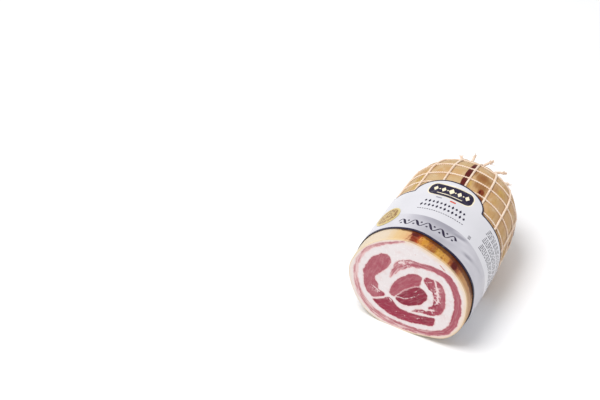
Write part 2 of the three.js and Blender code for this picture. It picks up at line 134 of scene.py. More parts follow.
def axis_at(y):
    """The middle of the section, across and up, which drifts a little along the roll."""
    drift = (y / ROLL_LENGTH) ** 2
    return AXIS_DRIFT[0] * drift, AXIS_HEIGHT + AXIS_DRIFT[1] * drift


def envelope(y, angle):
    y, angle = np.broadcast_arrays(np.asarray(y, float), np.asarray(angle, float))
    r = section_radius(y, angle) * end_share(y)
    middle_x, middle_z = axis_at(y)
    return np.stack([middle_x + r * np.cos(angle) * width_share(y), y, middle_z + r * np.sin(angle)], axis=-1)


def slopes(y, angle):
    """How a place moves when it goes round the roll, and when it goes along it."""
    step = 0.01
    around = (envelope(y, angle + step) - envelope(y, angle - step)) / (2 * step)
    along = (envelope(y + step, angle) - envelope(y - step, angle)) / (2 * step)
    return around, along


def unit(arrows):
    return arrows / np.linalg.norm(arrows, axis=-1, keepdims=True)


def outward(y, angle):
    around, along = slopes(np.minimum(y, ROLL_LENGTH - 1), angle)
    return unit(-np.cross(around, along))


def lay(y, angle, lift, floor=0):
    """A place on the roll, lifted off its surface and kept above the table."""
    points = envelope(y, angle) + outward(y, angle) * np.asarray(lift, float)[..., None]
    points[..., 2] = np.maximum(points[..., 2], floor)
    return points


# %% Sizes of the band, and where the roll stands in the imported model
RIND_POLE = 185
BAND_NEAR = (15, 6.5, math.radians(160))  # place along the roll, lean, where it leans furthest
BAND_FAR = (85, 4)  # place along the roll, lean
ARCH = (87, 38, 21, 2.2)  # degrees round, half width in degrees, height, power of its curve
BAND_INNER = 0.25
BAND_OUTER = 0.65
BAND_FACETS = 32


def band_near(angle):
    middle, lean, lean_at = BAND_NEAR
    return middle + lean * np.cos(angle - lean_at)


def band_far(angle):
    at, half_width, height, power = ARCH
    across = np.minimum(np.abs(np.degrees(angle) % 360 - at) / half_width, 1)
    return BAND_FAR[0] + BAND_FAR[1] * np.sin(angle) + height * (1 - across ** power) ** (1 / power)


def find_shift():
    """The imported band's facets outside the arch give its width, and so where its middle is."""
    step = (360 - 2 * ARCH[1]) / BAND_FACETS
    turn = np.radians(ARCH[0] + ARCH[1] + step * np.arange(BAND_FACETS + 1))
    rows = [blend(band_near(turn), band_far(turn), share / 3) for share in range(4)]
    film = lay(np.array(rows), turn, BAND_OUTER)
    low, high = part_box("band")
    across = (low.x + high.x) / (2 * MM) - (film[..., 0].min() + film[..., 0].max()) / 2
    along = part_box("roll_fat")[1].y / MM - RIND_POLE
    return np.array([across, along, 0])


ROLL_SHIFT = find_shift()
print("the roll's own frame is moved by", ROLL_SHIFT.round(2), "mm")


def to_row(points):
    return (np.asarray(points, float) + ROLL_SHIFT) * MM


# %% [markdown]
# ## The camera
# A picture is easiest to compare when it is taken from the same place as the photograph, so the
# camera comes first. A long lens from above and from the roll's right looks down on the cut
# face, and the roll stands low on the right of the frame.

# %% Setting the camera
CAMERA_AZIMUTH = math.radians(28.021)
CAMERA_ELEVATION = math.radians(39.124)
CAMERA_DISTANCE = 1446.6
LOOKED_AT = (0, 80, 60.8)
PAN_LEFT = 144.55
PAN_UP = 42.47
LENS = 84
SENSOR_WIDTH = 36


def new_object(name, data):
    """Puts new data into the scene as an object."""
    made = bpy.data.objects.new(name, data)
    bpy.context.scene.collection.objects.link(made)
    return made


def set_camera():
    east, north = math.sin(CAMERA_AZIMUTH), math.cos(CAMERA_AZIMUTH)
    level, upward = math.cos(CAMERA_ELEVATION), math.sin(CAMERA_ELEVATION)
    back = Vector((east * level, -north * level, upward))
    right = Vector((north, east, 0))
    up = back.cross(right)
    middle = Vector(to_row(LOOKED_AT))
    place = middle + (back * CAMERA_DISTANCE - right * PAN_LEFT + up * PAN_UP) * MM
    camera = new_object("camera", bpy.data.cameras.new("camera"))
    camera.data.lens = LENS
    camera.data.sensor_width = SENSOR_WIDTH
    camera.matrix_world = Matrix((right, up, back)).transposed().to_4x4()
    camera.location = place
    bpy.context.scene.camera = camera
    return camera


camera = set_camera()
print("the camera stands at", [round(value, 3) for value in camera.location], "m")

# %% [markdown]
# ## Helpers for shapes and finishes
# A few small helpers carry most of the work. `add` puts a node into any node tree and wires its
# inputs. `spots` and `broken` make the shares that say where a colour shows, and `tinted` lays such
# colours over one another. `soft_noise` gives the same gentle unevenness on every run, for edges
# and reliefs that a knife or a cure leaves. `make_piece` turns points and faces into a closed mesh
# object whose faces point outwards.

# %% Node helpers
def add(tree, kind, inputs=None, **settings):
    """Adds a node. An input is another node's output or a plain value."""
    node = tree.nodes.new(kind)
    for name, value in settings.items():
        setattr(node, name, value)
    for socket, value in (inputs or {}).items():
        if isinstance(value, bpy.types.NodeSocket):
            tree.links.new(value, node.inputs[socket])
        else:
            node.inputs[socket].default_value = value
    return node


def ink(code):
    """A colour written as it looks on a screen, as the light it reflects."""
    parts = [int(code[i:i + 2], 16) / 255 for i in (1, 3, 5)]
    return [p / 12.92 if p < 0.04045 else ((p + 0.055) / 1.055) ** 2.4 for p in parts] + [1]


def new_material(name):
    material = bpy.data.materials.new(name)
    material.use_nodes = True
    material.node_tree.nodes.clear()
    return material, material.node_tree


def painted(tree, name):
    """A value painted on the mesh's points."""
    return add(tree, "ShaderNodeAttribute", attribute_name=name).outputs["Fac"]


def mottle(tree, size, detail=2.0, stretch=(1, 1, 1), seed=0.0):
    """Noise between 0 and 1 whose blotches are about this many millimetres across."""
    place = add(tree, "ShaderNodeTexCoord").outputs["Object"]
    moved = add(tree, "ShaderNodeMapping", {
        "Vector": place, "Location": (seed, 1.7 * seed, 2.3 * seed), "Scale": stretch})
    cloud = add(tree, "ShaderNodeTexNoise", {
        "Vector": moved.outputs[0], "Scale": 1 / (size * MM), "Detail": detail})
    return cloud.outputs["Fac"]


def sums(tree, operation, a, b=0.0):
    return add(tree, "ShaderNodeMath", {0: a, 1: b}, operation=operation).outputs[0]


def vector_sums(tree, operation, a, b):
    """Sums with vectors. To scale one, the second value is a number."""
    second = "Scale" if operation == "SCALE" else 1
    return add(tree, "ShaderNodeVectorMath", {0: a, second: b}, operation=operation).outputs[0]


def swing(tree, value, cloud, reach):
    """A value moved up and down by noise, by at most half the reach."""
    centred = sums(tree, "SUBTRACT", cloud, 0.5)
    inputs = {0: centred, 1: reach, 2: value}
    return add(tree, "ShaderNodeMath", inputs, operation="MULTIPLY_ADD").outputs[0]


def rise(tree, value, low, high):
    """0 below the low value, 1 above the high one and smooth between them."""
    return add(tree, "ShaderNodeMapRange", {"Value": value, "From Min": low, "From Max": high},
               interpolation_type="SMOOTHSTEP").outputs["Result"]


def spots(tree, size, low, high, **noise):
    """A share that is 1 in blotches of noise about this many millimetres across."""
    return rise(tree, mottle(tree, size, **noise), low, high)


def broken(tree, name, cloud, reach, low, high):
    """A painted value as a share between two limits, with an edge that noise breaks up."""
    return rise(tree, swing(tree, painted(tree, name), cloud, reach), low, high)


def mixed(tree, share, a, b):
    node = add(tree, "ShaderNodeMix", {0: share, 6: a, 7: b}, data_type="RGBA")
    return node.outputs[2]


def tinted(tree, colour, layers):
    """Lays colours over one another. A layer is a share, how much of it counts, and the colour."""
    for share, amount, code in layers:
        colour = mixed(tree, sums(tree, "MULTIPLY", share, amount), colour, ink(code))
    return colour


def ramp(tree, value, stops):
    node = add(tree, "ShaderNodeValToRGB", {"Fac": value})
    marks = node.color_ramp.elements
    while len(marks) < len(stops):
        marks.new(0.5)
    for mark, (place, code) in zip(marks, stops):
        mark.position = place
        mark.color = ink(code)
    return node.outputs["Color"]


def finish_with(material, colour, bumps=(), **sockets):
    """Ends a material: bumps are heights with their depth in millimetres, laid over each other."""
    tree = material.node_tree
    inputs = {name.replace("_", " "): value for name, value in sockets.items()}
    inputs["Base Color"] = colour
    for height, deep in bumps:
        bump = {"Height": height, "Distance": deep * MM}
        if "Normal" in inputs:
            bump["Normal"] = inputs["Normal"]
        inputs["Normal"] = add(tree, "ShaderNodeBump", bump).outputs[0]
    shader = add(tree, "ShaderNodeBsdfPrincipled", inputs)
    add(tree, "ShaderNodeOutputMaterial", {"Surface": shader.outputs[0]})
    return material


# %% Mesh helpers
NOISE_TABLE = 4096
SHUFFLE = [73856093, 19349663, 83492791]  # large primes, one for each direction


def soft_noise(points, size, seed):
    """Smooth noise between -1 and 1 that changes over about this many millimetres."""
    table = np.random.default_rng(seed).uniform(-1, 1, NOISE_TABLE)
    grid = np.asarray(points, float) / size
    cell = np.floor(grid).astype(int)
    t = smooth(grid - cell, 0, 1)
    total = np.zeros(len(grid))
    for corner in itertools.product((0, 1), repeat=grid.shape[1]):
        key = (cell + corner) * SHUFFLE[:grid.shape[1]]
        index = np.bitwise_xor.reduce(key, axis=1) % NOISE_TABLE
        total += table[index] * np.prod(np.where(corner, t, 1 - t), axis=1)
    return total


def uneven(points, layers):
    """Layers of soft noise in millimetres, each with its height, size and seed."""
    return sum(height * soft_noise(points, size, seed) for height, size, seed in layers)


def make_piece(name, points, faces, materials, face_material=None, values=None, sharp=40):
    """Makes a mesh object from points in the roll's frame, with values painted on them."""
    mesh = bpy.data.meshes.new(name)
    mesh.from_pydata(to_row(points).tolist(), [], [list(map(int, face)) for face in faces])
    for material in materials:
        mesh.materials.append(material)
    if face_material is not None:
        mesh.polygons.foreach_set("material_index", np.asarray(face_material, np.int32))
    for title, numbers in (values or {}).items():
        vector = np.ndim(numbers) == 2
        layer = mesh.attributes.new(title, "FLOAT_VECTOR" if vector else "FLOAT", "POINT")
        layer.data.foreach_set("vector" if vector else "value", np.ravel(numbers).astype(np.float32))
    work = bmesh.new()
    work.from_mesh(mesh)
    bmesh.ops.remove_doubles(work, verts=work.verts, dist=1e-6)
    bmesh.ops.recalc_face_normals(work, faces=work.faces)
    odd_edges = sum(1 for edge in work.edges if len(edge.link_faces) != 2)
    work.to_mesh(mesh)
    work.free()
    mesh.shade_smooth()
    mesh.set_sharp_from_angle(angle=math.radians(sharp))
    print(name, "has", len(mesh.polygons), "faces and", odd_edges, "edges that don't join two of them")
    return new_object(name, mesh)


# %% [markdown]
# ## The muscles on the cut face
# The belly was rolled up from one side: a thin streaky layer of lean runs once round the roll
# and ends inside it, and five thicker muscles lie in the middle. Each has an outline drawn in a few
# points, with a smooth curve through them. A cut muscle never has a perfectly smooth edge,
# so each outline then wanders in and out, mostly by less than half a millimetre, and by less still
# where its neighbour is near.

# %% Outlines of the lean meat
RAISE = 0.8
SPIRAL_CENTRE = (0, 58)
SPIRAL = np.array([  # turn in degrees, distance from the centre, width
    [96, 59.6, 1.4], [105, 56.8, 2.2], [117, 55, 2.8], [134, 55.6, 3.8], [151, 57.1, 3.6],
    [166, 58.1, 3.8], [183, 59.2, 4.6], [198, 59.8, 5.2], [212, 60.8, 6.2], [226, 60, 7.2],
    [244, 56.8, 7.8], [262, 53.3, 7.3], [284, 52.9, 6.5], [304, 55.1, 6.4], [318, 57.6, 6.9],
    [333, 57.6, 7.3], [350, 55.5, 8], [376, 55.4, 8], [397, 54.4, 8.3], [408, 50, 7.2],
    [422, 42.9, 6.8], [437, 37, 7], [452, 33.6, 8.6], [465, 30, 10.8], [477, 26.8, 9],
    [490, 23.4, 6], [508, 21.4, 3.4], [523, 20.9, 1.2]])
MUSCLES = {
    "lean_left": [
        (-20, 90.5), (-25, 93), (-31.5, 90.5), (-37.5, 86), (-43, 79), (-47, 71), (-50, 62),
        (-50.5, 52), (-48.5, 41), (-44.5, 33.5), (-39, 29.3), (-33.5, 31), (-28.3, 34.2),
        (-24.5, 37.8), (-26, 40.6), (-32.3, 42), (-33.3, 49), (-37, 57), (-31.5, 65), (-25, 73),
        (-21.5, 80)],
    "lean_bottom": [
        (-38.5, 26), (-33, 28.7), (-28, 31.8), (-24, 35.3), (-20.5, 37.3), (-16.5, 35.8), (-13, 32.3),
        (-9, 29), (-3, 27.8), (4, 27.2), (13, 28.8), (24, 31.4), (31.8, 33), (32.3, 30.5), (29.7, 21.8),
        (22, 19), (12, 16), (2, 14.2), (-9, 13.6), (-20, 15.2), (-29, 18.8), (-36, 23)],
    "lean_eye": [
        (-15, 40.3), (-19.3, 42.5), (-19.5, 49), (-16.5, 57.5), (-11, 66.5), (-4, 74.5), (3, 80),
        (10, 81.8), (15, 80), (14, 74.5), (12, 68), (7, 64.8), (0.5, 59.2), (-6, 52.3), (-11.5, 45)],
    "lean_core": [
        (-12.3, 40.5), (-11, 43.5), (-5.5, 50.8), (1.5, 58.2), (8, 63.8), (13.5, 66.3), (19, 64),
        (22.3, 59), (22, 54), (18, 47.5), (11, 40.5), (4, 36.8), (-3, 35.3), (-9, 36), (-12, 38)],
    "lean_right": [
        (17, 79), (20, 82.8), (26, 83), (32, 82.8), (37.5, 78.5), (41, 70), (42, 60), (41.3, 50),
        (38, 42.5), (33, 38), (29.5, 35.6), (21, 34), (13, 32.3), (6, 30.3), (11, 35), (17, 38.3),
        (22.5, 38.3), (24.5, 40.5), (24, 45), (28, 50), (29, 57), (27.5, 65), (22, 69.5), (18.5, 74)],
}
EDGE_SPACING = 1.0
CURVE_STEPS = 24
SPIRAL_STEPS = 600
RAGGED = [(0.55, 5), (0.4, 2.2), (0.15, 1.1)]  # how far an edge wanders, and over what distance
WANDER_ROOM = 0.32  # the share of the room beside it that an edge may take
FAR_AWAY = 99.0


def even_loop(loop, spacing):
    closed = np.vstack([loop, loop[:1]])
    reach = np.concatenate([[0], np.cumsum(np.linalg.norm(np.diff(closed, axis=0), axis=1))])
    at = np.linspace(0, reach[-1], max(round(reach[-1] / spacing), 8), endpoint=False)
    return np.stack([np.interp(at, reach, closed[:, k]) for k in (0, 1)], axis=1)


def turned_left(loop):
    """The loop with its inside on the left as it runs."""
    x, z = loop.T
    area = np.sum(x * np.roll(z, -1) - np.roll(x, -1) * z)
    return loop if area > 0 else loop[::-1]


def smooth_loop(corners):
    """A smooth closed curve through the corners, tighter where they are close together."""
    p = np.array(corners, float)
    parts = []
    for i in range(len(p)):
        a, b, c, d = (p[(i + k) % len(p)] for k in (-1, 0, 1, 2))
        one = np.linalg.norm(b - a) ** 0.5
        two = one + np.linalg.norm(c - b) ** 0.5
        three = two + np.linalg.norm(d - c) ** 0.5
        t = np.linspace(one, two, CURVE_STEPS, endpoint=False)[:, None]
        first = blend(a, b, t / one)
        second = blend(b, c, (t - one) / (two - one))
        third = blend(c, d, (t - two) / (three - two))
        before = blend(first, second, t / two)
        after = blend(second, third, (t - one) / (three - one))
        parts.append(blend(before, after, (t - one) / (two - one)))
    return np.vstack(parts)


def spiral_line():
    """The spiral's middle line and, for each of its points, the turn and the width."""
    last = len(SPIRAL) - 1
    k = np.linspace(0, last, SPIRAL_STEPS)
    i = np.minimum(k.astype(int), last - 1)
    at = bent(*(SPIRAL[np.clip(i + n, 0, last)] for n in (-1, 0, 1, 2)), (k - i)[:, None])
    middle = np.array(SPIRAL_CENTRE) + at[:, 1:2] * round_points(np.radians(at[:, 0]))
    return middle, at[:, 0], at[:, 2]


def stroke(path, widths):
    """The outline of a path that has its own width at each point."""
    ahead = unit(np.gradient(path, axis=0))
    side = np.stack([-ahead[:, 1], ahead[:, 0]], axis=1) * widths[:, None] / 2
    return np.vstack([path + side, (path - side)[::-1]])


def room_round(loop, others):
    """How far each point is from the next piece, or from the far side of its own."""
    neighbours = 6
    gap = np.full(len(loop), FAR_AWAY)
    for other in others:
        gap = np.minimum(gap, np.linalg.norm(loop[:, None] - other[None], axis=2).min(axis=1))
    apart = np.abs(np.arange(len(loop))[:, None] - np.arange(len(loop))[None])
    apart = np.minimum(apart, len(loop) - apart)
    own = np.linalg.norm(loop[:, None] - loop[None], axis=2)
    own[apart < neighbours] = FAR_AWAY
    return np.minimum(gap, own.min(axis=1))


def ragged(loop, room, seed):
    """Lets an outline wander, but little where it bends sharply or has no room."""
    ahead = unit(np.roll(loop, -1, axis=0) - np.roll(loop, 1, axis=0))
    aside = np.stack([ahead[:, 1], -ahead[:, 0]], axis=1)
    wander = uneven(loop, [(height, size, seed + k) for k, (height, size) in enumerate(RAGGED)])
    straight = [np.sum(ahead * np.roll(ahead, k, axis=0), axis=1) for k in (-5, 5)]
    limit = WANDER_ROOM * room * np.clip(np.minimum(*straight), 0, 1)
    return loop + aside * np.clip(wander, -limit, limit)[:, None]


RIM_SEGMENTS = 288
RIM_ANGLES = 2 * np.pi * np.arange(RIM_SEGMENTS) / RIM_SEGMENTS
RIM_ROUNDING = [(0.9, 0.0), (0.25, 0.2), (0.0, 0.8)]  # in from the outline, back from the cut


def rim_loop(inset):
    return (cut_radius(RIM_ANGLES) - inset)[:, None] * round_points(RIM_ANGLES) + [0, AXIS_HEIGHT]


def lean_outlines():
    middle, _, width = spiral_line()
    plain = {"lean_spiral": turned_left(even_loop(stroke(middle, width), EDGE_SPACING))}
    for name, corners in MUSCLES.items():
        plain[name] = turned_left(even_loop(smooth_loop(corners), EDGE_SPACING))
    made = {}
    for seed, (name, loop) in enumerate(plain.items()):
        others = [other for title, other in plain.items() if title != name]
        room = room_round(loop, others + [rim_loop(RIM_ROUNDING[0][0]) - [0, RAISE]])
        made[name] = ragged(loop, room, 40 + 10 * seed) + [0, RAISE]
    return made


outlines = lean_outlines()
for title, loop in outlines.items():
    print(title, "has an outline of", len(loop), "points")

# %% [markdown]
# ## Filling the cut face
# One constrained triangulation fills the whole face: the rim and all the muscles' outlines are
# edges that it has to keep, and loose points between them, about a millimetre apart, give it enough
# detail for a relief. Fat and lean then share their edge exactly, so nothing gapes between them.

# %% Triangles of the cut face
GRID = 1.0
ROW_SHARE = 0.866  # height of a triangle with sides of 1
SHAKE = 0.22
AT_ONCE = 2000  # points measured together


def inside(points, loop):
    """Which points lie inside a closed loop."""
    x, z = points[:, 0][:, None], points[:, 1][:, None]
    a, b = loop, np.roll(loop, -1, axis=0)
    crosses = (a[:, 1] > z) != (b[:, 1] > z)
    with np.errstate(divide="ignore", invalid="ignore"):
        at = a[:, 0] + (z - a[:, 1]) / (b[:, 1] - a[:, 1]) * (b[:, 0] - a[:, 0])
    return np.sum(crosses & (x < at), axis=1) % 2 == 1


def distance_to(points, path, closed=True):
    """Distance of each point from a path of straight steps."""
    a, b = (path, np.roll(path, -1, axis=0)) if closed else (path[:-1], path[1:])
    step = b - a
    squared = np.maximum(np.sum(step * step, axis=1), 1e-9)
    best = np.empty(len(points))
    for start in range(0, len(points), AT_ONCE):
        part = points[start:start + AT_ONCE, None]
        share = np.clip(np.sum((part - a) * step, axis=2) / squared, 0, 1)
        off = part - a - share[..., None] * step
        best[start:start + AT_ONCE] = np.linalg.norm(off, axis=2).min(axis=1)
    return best


def scattered(low, high, spacing, seed):
    """Loose points in a box, on a shaken triangular grid."""
    rows = np.arange(low[1], high[1], spacing * ROW_SHARE)
    columns = np.arange(low[0], high[0], spacing)
    points = np.array([(x + spacing / 2 * (i % 2), row) for i, row in enumerate(rows) for x in columns])
    return points + np.random.default_rng(seed).uniform(-SHAKE, SHAKE, points.shape) * spacing


def triangulate(points, edges):
    made = delaunay_2d_cdt([Vector(p) for p in points], edges, [], 0, 1e-7)
    return np.array([tuple(v) for v in made[0]]), np.array(made[2])


def join_paths(paths):
    """All the points of some paths, and the edges along them. A closed path is marked True."""
    edges, start = [], 0
    for path, closed in paths:
        count = len(path)
        edges += [(start + i, start + (i + 1) % count) for i in range(count if closed else count - 1)]
        start += count
    return np.vstack([path for path, _ in paths]), edges


def fill_face():
    loops = [rim_loop(RIM_ROUNDING[0][0])] + list(outlines.values())
    border, edges = join_paths([(loop, True) for loop in loops])
    loose = scattered(border.min(axis=0), border.max(axis=0), GRID, 3)
    keep = inside(loose, loops[0])
    for loop in loops:
        keep[keep] = distance_to(loose[keep], loop) > 0.5 * GRID
    points, triangles = triangulate(np.vstack([border, loose[keep]]), edges)
    middles = points[triangles].mean(axis=1)
    region = np.full(len(triangles), -1)
    for number, loop in enumerate(loops[1:]):
        region[inside(middles, loop)] = number
    return points, triangles, region


face_points, face_triangles, face_region = fill_face()
rim_gap = distance_to(face_points, rim_loop(0))
lean_gap = np.full(len(face_points), FAR_AWAY)
in_lean = np.zeros(len(face_points), bool)
for loop in outlines.values():
    lean_gap = np.minimum(lean_gap, distance_to(face_points, loop))
    in_lean |= inside(face_points, loop)
print("the cut face has", len(face_triangles), "triangles")

# %% [markdown]
# ## Relief, tone and grain of the cut
# A knife leaves a cut that is nearly flat, but the lean dries and sinks a little under the fat.
# Every muscle of one cut has its own tone, from pale rose to deep wine, and along the thin spiral
# the tone changes with the turn. Lean also has a grain: in the spiral it runs along the layer, in
# a muscle along its fibres, so each point gets a place in that grain, in millimetres, which the
# finish then stretches into streaks. Seams of fat inside a muscle are short drawn paths with a
# width. Around some of them the meat is marbled, with small flecks of fat.

# %% Tones by muscle and by the spiral's turn
TONES = {"lean_left": 0.54, "lean_bottom": 0.78, "lean_eye": 0.56, "lean_core": 0.93, "lean_right": 0.64}
FIBRES = {"lean_left": 75, "lean_bottom": 10, "lean_eye": 50, "lean_core": 48, "lean_right": 80}
SPIRAL_TONES = [  # turn in degrees, tone
    (96, 0.36), (117, 0.3), (140, 0.2), (166, 0.14), (190, 0.16), (215, 0.26), (240, 0.34), (262, 0.36),
    (290, 0.42), (320, 0.5), (350, 0.55), (380, 0.58), (400, 0.55), (430, 0.5), (465, 0.5), (485, 0.4),
    (505, 0.25), (523, 0.15)]
SPIRAL_STREAKS = [  # turn in degrees, strength
    (96, 0.5), (140, 0.9), (190, 1.0), (262, 1.0), (310, 0.6), (350, 0.4), (400, 0.4), (440, 0.6), (523, 0.9)]
SPIRAL_DRAWN = 0.11  # steps in the grain for each millimetre along the meat, which draws it out
MUSCLE_DRAWN = 0.25
MUSCLE_STREAKS = 0.3
TONE_SPOTS = [  # place on the cut, radius, change of tone
    (27, 67, 6, 0.2), (30.5, 51, 6, 0.2), (24, 36, 6, 0.18), (40, 57, 5, -0.18), (37, 73, 6, -0.18),
    (-29, 84, 9, -0.06), (-44, 57, 8, -0.08), (-27, 37, 4, 0.25), (-42, 36, 6, -0.1), (-15, 45, 5, -0.05),
    (8, 78, 6, 0.08), (-30, 25, 7, 0.06), (20, 24, 10, 0.06), (-9, 91, 6, -0.16), (-15, 84, 5, -0.12)]


def spiral_place(points):
    """For points of the spiral: its turn there, millimetres along it and across it."""
    middle, turn, _ = spiral_line()
    middle = middle + [0, RAISE]
    along = np.concatenate([[0], np.cumsum(np.linalg.norm(np.diff(middle, axis=0), axis=1))])
    ahead = unit(np.gradient(middle, axis=0))
    nearest = np.argmin(np.linalg.norm(points[:, None] - middle[None], axis=2), axis=1)
    off = points - middle[nearest]
    across = off[:, 0] * -ahead[nearest, 1] + off[:, 1] * ahead[nearest, 0]
    return turn[nearest], along[nearest], across


def lean_values(name, points):
    """Tone, strength of the streaks and place in the grain for a muscle's points."""
    if name == "lean_spiral":
        turn, along, across = spiral_place(points)
        tone = np.interp(turn, *zip(*SPIRAL_TONES))
        streaks = np.interp(turn, *zip(*SPIRAL_STREAKS))
        grain = np.stack([along * SPIRAL_DRAWN, across, 0 * along], axis=1)
    else:
        turn = math.radians(FIBRES[name])
        along = points @ [math.cos(turn), math.sin(turn)]
        across = points @ [-math.sin(turn), math.cos(turn)]
        tone = np.full(len(points), TONES[name])
        streaks = np.full(len(points), MUSCLE_STREAKS)
        grain = np.stack([along * MUSCLE_DRAWN, across, 0 * along + len(name)], axis=1)
    for x, z, radius, change in TONE_SPOTS:
        gap = np.linalg.norm(points - [x, z + RAISE], axis=1)
        tone = tone + change * np.exp(-(gap / radius) ** 2)
    return {"tone": tone, "streaks": streaks, "grain": grain}


# %% Relief and seams
SEAMS = [  # width in millimetres, then the path on the cut face
    (1.0, [(-12.5, 41.5), (-9, 42.4), (-3, 43), (1, 45.5)]),
    (0.6, [(1, 45.5), (5, 48.5), (8.5, 51.5)]),
    (0.7, [(8, 57.5), (10, 59.5)]), (0.6, [(11, 54.5), (13, 57)]),
    (1.0, [(-22, 41), (-20, 35.5), (-17, 33)]), (0.9, [(-16.5, 36.5), (-12, 31)]),
    (0.6, [(-13, 20), (-10.5, 22)]), (0.6, [(13, 24), (15.5, 25)]), (0.6, [(17, 26.5), (18.5, 25)]),
    (0.5, [(11, 22.5), (13, 23)]), (0.5, [(-3, 21), (-1, 20)]),
    (1.3, [(-38, 43.5), (-34.5, 41.5), (-31, 39.5)]), (0.8, [(-34.5, 41.5), (-33, 37)]),
    (0.7, [(-38, 43.5), (-41, 44.5)]), (0.5, [(-34, 62), (-33.5, 64)]),
    (1.9, [(28.3, 82.8), (29.8, 79), (30.4, 76), (31.4, 73)]),
    (2.7, [(31.4, 73), (32.6, 70.5), (32.0, 67.5), (33.6, 64.5)]),
    (2.1, [(33.6, 64.5), (32.8, 61.5), (34, 58), (32.8, 54)]),
    (1.3, [(26.0, 60.8), (28.7, 58.9), (31.2, 56.2), (33, 54)]), (0.9, [(33, 54), (31.2, 51.2), (29, 51)]),
    (0.9, [(31.4, 73), (28.4, 71.8)]), (0.9, [(32, 67.5), (29.4, 65.6)]), (0.9, [(32.8, 61.5), (30.2, 62.6)]),
    (0.9, [(32.6, 70.5), (35, 69)]), (0.9, [(33.6, 64.5), (36.2, 63)]), (0.9, [(34, 58), (36.5, 56)]),
    (0.7, [(19.3, 75.6), (22.5, 77), (25.6, 78.8)]), (0.6, [(20.5, 74.7), (22, 71.5)]),
    (0.6, [(17.5, 81.5), (18.8, 79)]), (0.6, [(24.5, 70.5), (26.5, 68)]),
    (1.9, [(24, 40.6), (27, 42), (30, 42.5)]), (0.9, [(27, 42), (29, 38.5)]),
    (0.8, [(13, 34), (19, 36)]),
    (2.4, [(-11, 88), (-8, 90), (-5.5, 89)]), (0.9, [(-8, 90), (-6, 94), (-1, 96.5)]),
    (0.7, [(-1, 92), (4, 96)]), (0.8, [(38, 87), (43, 80)])]
MARBLED = [  # place on the cut, half width, half height, strength
    (-36, 42, 5, 4, 1), (32.5, 68, 4.2, 12, 1), (31.5, 56, 5, 5, 1), (28, 42, 5, 3, 1), (-7, 91, 11, 7, 1),
    (14, 33, 9, 2, 0.5), (3, 94, 10, 3, 0.5), (-20, 35, 4, 4, 0.5)]
STAINS = [  # width in millimetres, then the path on the cut face
    (1.7, [(33, 104.5), (35.5, 102.5), (38, 100)]), (0.8, [(5.8, 106), (6.4, 106.2)]),
    (0.6, [(39, 98), (42, 95)])]
CUT_WAVES = [(0.3, 28, 5), (0.1, 6, 6), (0.05, 1.6, 7)]  # height, size and seed of each
LEAN_SUNK = 0.3
OUTSIDE = -9.0  # stands for any place well outside a drawn line


def face_depth(points, lean, gap):
    sunk = smooth(gap, 0, 1.6) * lean
    return uneven(points, CUT_WAVES) + sunk * (LEAN_SUNK + 0.1 * soft_noise(points, 2.2, 8))


def line_depth(points, lines):
    """How deep a point lies inside drawn lines, in millimetres; below zero outside."""
    best = np.full(len(points), OUTSIDE)
    for width, path in lines:
        path = np.array(path, float) + [0, RAISE]
        best = np.maximum(best, width / 2 - distance_to(points, path, closed=False))
    return best


def marbling(points):
    best = np.zeros(len(points))
    for x, z, wide, tall, strength in MARBLED:
        off = (points - [x, z + RAISE]) / [wide, tall]
        best = np.maximum(best, strength * np.exp(-np.sum(off * off, axis=1)))
    return best


depth = face_depth(face_points, in_lean, lean_gap)
seam = line_depth(face_points, SEAMS)
stain = line_depth(face_points, STAINS)
marbled = marbling(face_points)
# Between the eye and the core there is only a thin pink skin.
eye_to_core = sum(distance_to(face_points, outlines[title]) for title in ("lean_eye", "lean_core"))
skin = (1 - smooth(eye_to_core, 1.7, 3.2)) * smooth(face_points[:, 0], -16, -4)
print("the relief of the cut is", round(float(np.ptp(depth)), 2), "mm deep")

# %% [markdown]
# ## Finishes of the meat
# Cut fat is a warm white, pinker beside the lean and creamier towards the rind. The cream fades on the
# left, which is painted light from the lamp on that side. Lean is a matter of tone: one ramp from rose
# to wine, moved by blotches and by streaks along the grain, so that no part is flat. Its edge pales
# where it meets the fat, and marbled parts show small flecks. The face is moist, so both are fairly
# smooth, with fine bumps that break up the shine.

# %% Fat and lean
LEAN_STOPS = [(0.0, "#dcb4b1"), (0.25, "#c1868a"), (0.5, "#a85a65"), (0.75, "#993449"), (1.0, "#801a33")]


def cut_fat():
    material, tree = new_material("cut_fat")
    # The cream share fades on the left of the cut, as painted light from the lamp there.
    creamed = painted(tree, "creamed")
    cream = sums(tree, "MULTIPLY", broken(tree, "from_rim", mottle(tree, 9), 5, 7.5, 0.5), creamed)
    pink = broken(tree, "from_lean", mottle(tree, 3, seed=2), 1.6, 1.5, 0)
    edge = broken(tree, "from_rim", mottle(tree, 3, seed=3), 0.8, 1.5, 0.5)
    red = broken(tree, "stain", mottle(tree, 1.4, detail=3, seed=13), 1.2, -0.2, 0.5)
    colour = tinted(tree, ink("#e2dad9"), [
        (spots(tree, 7, 0.48, 0.72, detail=4, seed=5), 0.6, "#dcc8c6"),
        (spots(tree, 2.2, 0.56, 0.68, detail=4, seed=12), 0.35, "#f3eeee"),
        (cream, 0.9, "#e5ceb2"),
        (pink, 0.6, "#dcb6b3"),
        (sums(tree, "MULTIPLY", edge, creamed), 0.6, "#dcc4a2"),
        (red, 0.8, "#c0694f"),
        (painted(tree, "skin"), 0.72, "#b56f79")])
    grain = mottle(tree, 1.1, detail=3, seed=1)
    return finish_with(material, colour, [(grain, 0.12)], Roughness=0.38, Specular_IOR_Level=0.35)


def grain_noise(tree, size, seed=0.0):
    """Noise that follows the meat's grain, drawn out along it."""
    place = add(tree, "ShaderNodeAttribute", attribute_name="grain").outputs["Vector"]
    moved = vector_sums(tree, "ADD", place, (seed, seed, 3 * seed))
    cloud = add(tree, "ShaderNodeTexNoise", {"Vector": moved, "Scale": 1 / size, "Detail": 3.0})
    return cloud.outputs["Fac"]


